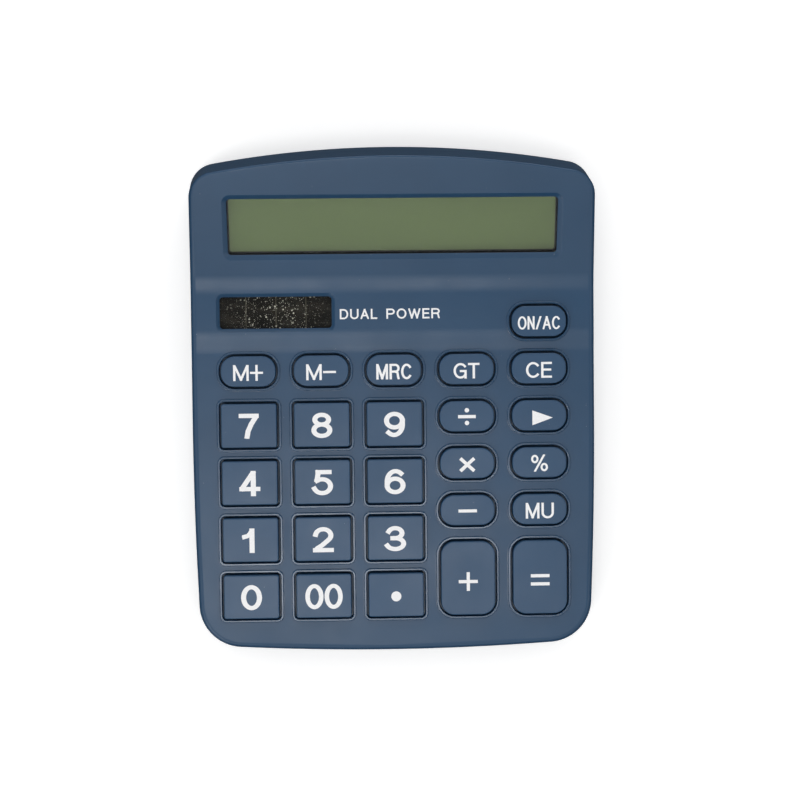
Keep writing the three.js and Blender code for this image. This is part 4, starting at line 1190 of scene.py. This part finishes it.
def make_back_cover():
    cover = lower_blank("back_cover_shell", 0, FLOOR_Z, -GAP / 2, EDGE_ROUNDING)
    cut(cover, lower_blank("cavity", WALL, FLOOR_Z + FLOOR, FAR))
    join(cover, lip())
    join(cover, inner_walls())
    _, middle_y, middle_z = end_middle(*box_mm("battery_cell"))
    front, rear = middle_y - BAY_HALF_WIDTH, middle_y + BAY_HALF_WIDTH
    x = BAY_HALF_LENGTH
    outer_low = (-x - BAY_WALL, front - BAY_WALL, FLOOR_Z + FLOOR / 2)
    outer_high = (x + BAY_WALL, rear + BAY_WALL, BAY_ROOF_Z + BAY_ROOF)
    join(cover, block("bay", outer_low, outer_high))
    cut(cover, block("room", (-x, front, 0), (x, rear, BAY_ROOF_Z)))
    cut(cover, *[
        block("tab", (end - 2 * BAY_WALL, front, middle_z - TAB_SLOT),
              (end + 2 * BAY_WALL, front + 2 * TAB_SLOT, middle_z + TAB_SLOT))
        for end in (-x, x)
    ])
    cut(cover, *[
        turned("head", mouth(SCREW_HEAD + GAP) + [
            (SCREW_HEAD + GAP, boss_top(y) - BOSS_SEAT),
            (SCREW_SHANK + GAP, boss_top(y) - BOSS_SEAT), (SCREW_SHANK + GAP, FAR),
        ], place(x, y, 0))
        for x, y in SCREW_PLACES
    ])
    recesses = []
    for node in FOOT_NODES:
        low, high = box_mm(node)
        radius = (high.x - low.x) / 2 + GAP
        profile = mouth(radius) + [(radius, high.z + GAP)]
        recesses.append(turned("recess", profile, centred(low, high)))
    cut(cover, *recesses)
    slot_x, slot_y = DOOR_HALF_WIDTH + GAP, DOOR_FRONT_Y - GAP
    slot = block("slot", (-slot_x, slot_y, 0), (slot_x, FAR, FLOOR_Z + DOOR + GAP))
    groove_x, groove_z = slot_x + DOOR_TONGUE, FLOOR_Z + DOOR - TONGUE_THICKNESS - GAP
    groove = block("groove", (-groove_x, slot_y, groove_z), (groove_x, FAR, FLOOR_Z + DOOR + GAP))
    cut(cover, join(slot, groove))
    return finished(cover, (SHELL,), "case_plastic", CASE, "back_cover")


def make_battery_door():
    """The door, with rounded finger grooves and an arrow that shows the way it slides."""
    top = FLOOR_Z + DOOR
    low, high = box_mm("battery_door")
    door = block("battery_door_panel", (-DOOR_HALF_WIDTH, low.y, 0), (DOOR_HALF_WIDTH, FAR, top))
    tongue_x = DOOR_HALF_WIDTH + DOOR_TONGUE
    tongues = block(
        "tongues", (-tongue_x, low.y, top - TONGUE_THICKNESS), (tongue_x, TONGUE_END_Y, top))
    join(door, tongues)
    keep(door, lower_blank("trim", 0, FLOOR_Z, -GAP / 2, EDGE_ROUNDING))
    cut(door, *[
        stack("groove", (2 * GRIP_HALF_LENGTH, GRIP_WIDTH, GRIP_WIDTH / 2), [
            (0.25, FLOOR_Z - 1), (0.25, FLOOR_Z), (0.08, FLOOR_Z + 0.12),
            (-0.05, FLOOR_Z + GRIP_DEPTH - 0.12), (-0.25, FLOOR_Z + GRIP_DEPTH),
        ], place(0, GRIP_LAST_Y + GRIP_WIDTH / 2 - GRIP_PITCH * i, 0))
        for i in range(GRIP_COUNT)
    ])
    tip = GRIP_LAST_Y - GRIP_PITCH * GRIP_COUNT
    arrow = [[(-ARROW, tip - ARROW, z), (ARROW, tip - ARROW, z), (0, tip, z)]
             for z in (FLOOR_Z - 1, FLOOR_Z + GRIP_DEPTH / 2)]
    cut(door, loft("arrow", arrow))
    return finished(door, (SHELL,), "case_plastic", "battery_door", "battery_door")


def make_foot(node):
    low, high = box_mm(node)
    radius = (high.x - low.x) / 2
    edge = quarter(radius - FOOT_ROUNDING, FOOT_ROUNDING, FOOT_ROUNDING, FOOT_ROUNDING, -90, 0, 6)
    profile = [(AXIS, 0.0), *edge, (radius, high.z), (AXIS, high.z)]
    made = turned(node + "_pad", profile, centred(low, high))
    return finished(made, (RUBBER,), "foot_rubber", CASE, node)


def make_screw(node):
    """A pan-head screw with a cross recess, its head downwards."""
    low, high = box_mm(node)
    head, shank, height = SCREW_HEAD, SCREW_SHANK, SCREW_HEAD_HEIGHT
    dome = [
        (head * math.sin(a) ** 0.7, height * 0.55 * (1 - math.cos(a)))
        for a in (math.radians(step) for step in range(9, 91, 9))
    ]
    length = high.z - low.z
    thread = []
    for turn in range(int((length - height - shank) / SCREW_PITCH)):
        z = height + 0.1 + turn * SCREW_PITCH
        thread += [(shank * 0.8, z), (shank, z + SCREW_PITCH / 2)]
    profile = [(AXIS, 0), *dome, (head, height), (shank, height), *thread, (AXIS, length)]
    matrix = centred(low, high, low.z)
    made = turned(node + "_metal", profile, matrix)
    for width, breadth in (CROSS, reversed(CROSS)):
        wide, broad = head * width, head * breadth
        loops = [
            [(-x, -y, z), (x, -y, z), (x, y, z), (-x, y, z)]
            for x, y, z in ((wide, broad, -1), (wide * 0.5, broad * 0.8, CROSS_DEPTH))
        ]
        cut(made, loft("arm", loops, matrix))
    return finished(made, (STEEL,), "screw_steel", CASE, node)


def make_plate(node, name, slope, radius, material, slot):
    """A flat plate with softened edges, the size of the CAD node it stands for."""
    low, high = tilted_box(node, slope)
    size = (high.x - low.x, high.y - low.y, radius)
    edge = PLATE_EDGE
    levels = [(-edge, low.z), (0, low.z + edge), (0, high.z - edge), (-edge, high.z)]
    plate = stack(name, size, levels, tilt(slope) @ centred(low, high))
    return finished(plate, (material,), slot, CASE, node, sharp=50)


def make_cell():
    """An AA cell: a sleeved can with crimped ends, a cap at one end and a flat at the other."""
    low, high = box_mm("battery_cell")
    radius = (high.z - low.z) / 2
    can = high.x - low.x - CELL_NUB_HEIGHT
    nub = CELL_NUB_RADIUS
    profile = [
        (AXIS, 0.25), (radius - 2.2, 0.25), (radius - 1.9, 0.0), (radius - 0.9, 0.0),
        (radius - 0.35, 0.2), (radius - 0.05, 0.6), (radius, 1.1), (radius, can - 1.4),
        (radius - 0.08, can - 0.8), (radius - 0.4, can - 0.3), (radius - 0.9, can - 0.1),
        (nub + 1.6, can - 0.1), (nub + 1.4, can - 0.35), (nub + 0.25, can - 0.35),
        (nub, can), (nub, can + CELL_NUB_HEIGHT - 0.4),
        (nub - 0.12, can + CELL_NUB_HEIGHT - 0.12), (nub - 0.4, can + CELL_NUB_HEIGHT),
        (AXIS, can + CELL_NUB_HEIGHT),
    ]
    matrix = place(*end_middle(low, high)) @ Matrix.Rotation(math.pi / 2, 4, "Y")
    made = turned("battery_cell_can", profile, matrix, 96)
    paint(made, SLEEVE, STEEL)
    for face in made.data.polygons:
        along = face.center.x - low.x
        off_axis = (face.center - matrix.translation).yz.length
        face.material_index = int(along < 0.5 or (along > can - 0.2 and off_axis < nub + 2.6))
    return finished(made, (SLEEVE, STEEL), "cell_can", CASE, "battery_cell")


def make_spring():
    """The conical spring at the cell's negative end."""
    low, high = box_mm("battery_spring")
    wire = SPRING_WIRE_RADIUS
    wide = (high.z - low.z) / 2 - wire
    narrow = wide * SPRING_NARROWING
    path = []
    steps = SPRING_STEPS * SPRING_TURNS
    for i in range(steps + 1):
        share = i / steps
        angle = 2 * math.pi * SPRING_TURNS * share
        radius = wide + (narrow - wide) * share
        x = wire + (high.x - low.x - 2 * wire) * smooth(share)
        path.append(Vector((x, radius * math.cos(angle), radius * math.sin(angle))))
    start = Vector(end_middle(low, high))
    loops = []
    for i, at in enumerate(path):
        along = (path[min(i + 1, steps)] - path[max(i - 1, 0)]).normalized()
        out = Vector((0, at.y, at.z)).normalized()
        side = along.cross(out).normalized()
        out = side.cross(along)
        loops.append([start + at + wire * (out * x + side * y) for x, y in circle(WIRE_SIDES)])
    return finished(loft("battery_spring_wire", loops), (STEEL,), "contact_steel", CASE, "battery_spring")


def dress(material, *nodes):
    """Gives CAD nodes that stay in view a finish of their own."""
    for node in nodes:
        for slot in frame["nodes"][node].material_slots:
            slot.material = material


make_front_cover()
make_back_cover()
make_battery_door()
for node in KEY_NODES:
    make_key(node)
for node in FOOT_NODES:
    make_foot(node)
for node in SCREW_NODES:
    make_screw(node)
make_cell()
make_spring()

WINDOW = clear_acrylic("clear_acrylic", 0.03)
for node, slope in (("display_window", DISPLAY_SLOPE), ("solar_window", KEYPAD_SLOPE)):
    window = make_plate(node, node + "_pane", slope, 0.5, WINDOW, "clear_window")
    window.visible_shadow = False
make_painted_shade_frame()
make_plate("lcd_glass", "lcd_panel", DISPLAY_SLOPE, 0.5, lcd_face("lcd_face"), "lcd_panel")
solar_low, solar_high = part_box("solar_cell")
silicon = solar_face("silicon_face", solar_low.x, solar_high.x)
make_plate("solar_cell", "solar_panel", KEYPAD_SLOPE, 0.4, silicon, "solar_silicon")

dress(coated("frame_plastic", srgb("cfcfc9"), 0.5, 1.0), "lcd_frame")
dress(coated("ribbon_film", srgb("a5824a"), 0.42, 2.0), "lcd_ribbon")
dress(board_laminate("solder_mask"), "circuit_board")
dress(soft_rubber("membrane_rubber", srgb("b4b6b4"), 5.0), "keypad_membrane")
dress(coated("potting_epoxy", srgb("101013"), 0.3, 4.0), "chip_blob")
dress(metal("aluminium_can", srgb("b9bcc0"), 0.35, 6.0), "capacitor")
BRASS = metal("brass_strip", srgb("b99656"), 0.34, 7.0)
dress(BRASS, "battery_contact_negative", "battery_contact_positive")
dress(coated("red_insulation", srgb("9c1f1c"), 0.45, 8.0), "battery_wire_red", "solar_wire_red")
dress(coated("black_insulation", srgb("17171a"), 0.45, 9.0), "battery_wire_black", "solar_wire_black")
dress(STEEL, "board_screw_1", "board_screw_2", "board_screw_3")

# ---- Camera, light and floor


def make_camera():
    data = bpy.data.cameras.new("camera")
    data.lens = CAMERA_LENS
    data.sensor_width = CAMERA_SENSOR
    camera = linked("camera", data)
    camera.location = CAMERA_PLACE
    camera.rotation_mode = "ZYX"
    camera.rotation_euler = [math.radians(a) for a in CAMERA_TURN]
    bpy.context.scene.camera = camera


def area_light(name, location, size, power, turn):
    """A rectangular softbox aimed at the object and turned about its own axis by turn degrees."""
    data = bpy.data.lights.new(name, "AREA")
    data.shape = "RECTANGLE"
    data.size, data.size_y = size
    data.energy = power
    aim = (-Vector(location)).to_track_quat("-Z", "Y").to_matrix().to_4x4()
    spin = Matrix.Rotation(math.radians(turn), 4, "Z")
    linked(name, data).matrix_world = Matrix.Translation(location) @ aim @ spin


def staged(name, shape, material, **settings):
    """A piece of the studio. Only the camera sees its glow, so it lights nothing."""
    mesh = bpy.data.meshes.new(name)
    with editing(mesh) as bm:
        shape(bm, **settings)
    mesh.materials.append(material)
    made = linked(name, mesh)
    made.visible_glossy = False
    made.visible_diffuse = False
    return made


def make_floor():
    f = Finish("pale_floor")
    shade = f.noise(180, 2, seed=1.0)
    tone = f.mix(f.ramp(shade, 0.3, 0.7), (0.9, 0.9, 0.9, 1), (0.93, 0.93, 0.93, 1))
    finish = f.done(tone, 0.9, Emission_Color=(1.0, 1.0, 1.0, 1.0), Emission_Strength=FLOOR_GLOW)
    staged("floor", bmesh.ops.create_grid, finish, x_segments=2, y_segments=2, size=FLOOR_HALF)


def make_backdrop():
    """A pale wall all round, for the views that look over the floor's edge."""
    f = Finish("pale_backdrop")
    glow = {"Emission_Color": (1.0, 1.0, 1.0, 1.0), "Emission_Strength": 1.0}
    finish = f.done((0.0, 0.0, 0.0, 1.0), 1.0, Specular_IOR_Level=0.0, **glow)
    sphere = {"u_segments": 64, "v_segments": 32, "radius": BACKDROP_RADIUS}
    backdrop = staged("backdrop", bmesh.ops.create_uvsphere, finish, **sphere)
    backdrop.visible_transmission = False
    backdrop.visible_shadow = False


def make_world():
    """A soft ring of light above a dark horizon, dim overhead where the camera stands."""
    world = bpy.data.worlds.new("studio")
    world.use_nodes = True
    nodes, links = world.node_tree.nodes, world.node_tree.links
    direction = nodes.new("ShaderNodeTexCoord").outputs["Generated"]
    split = nodes.new("ShaderNodeSeparateXYZ")
    ramp = nodes.new("ShaderNodeValToRGB")
    links.new(direction, split.inputs[0])
    links.new(split.outputs["Z"], ramp.inputs[0])
    stops = ramp.color_ramp.elements
    while len(stops) < len(TENT):
        stops.new(0.5)
    for stop, (height, level) in zip(stops, TENT):
        stop.position = height
        stop.color = (level, level, level, 1.0)
    background = nodes["Background"]
    links.new(ramp.outputs["Color"], background.inputs["Color"])
    background.inputs["Strength"].default_value = TENT_STRENGTH
    bpy.context.scene.world = world


make_camera()
make_floor()
make_backdrop()
make_world()
for name, settings in LIGHTS.items():
    area_light(name, *settings)
bpy.context.scene.view_settings.view_transform = "Standard"
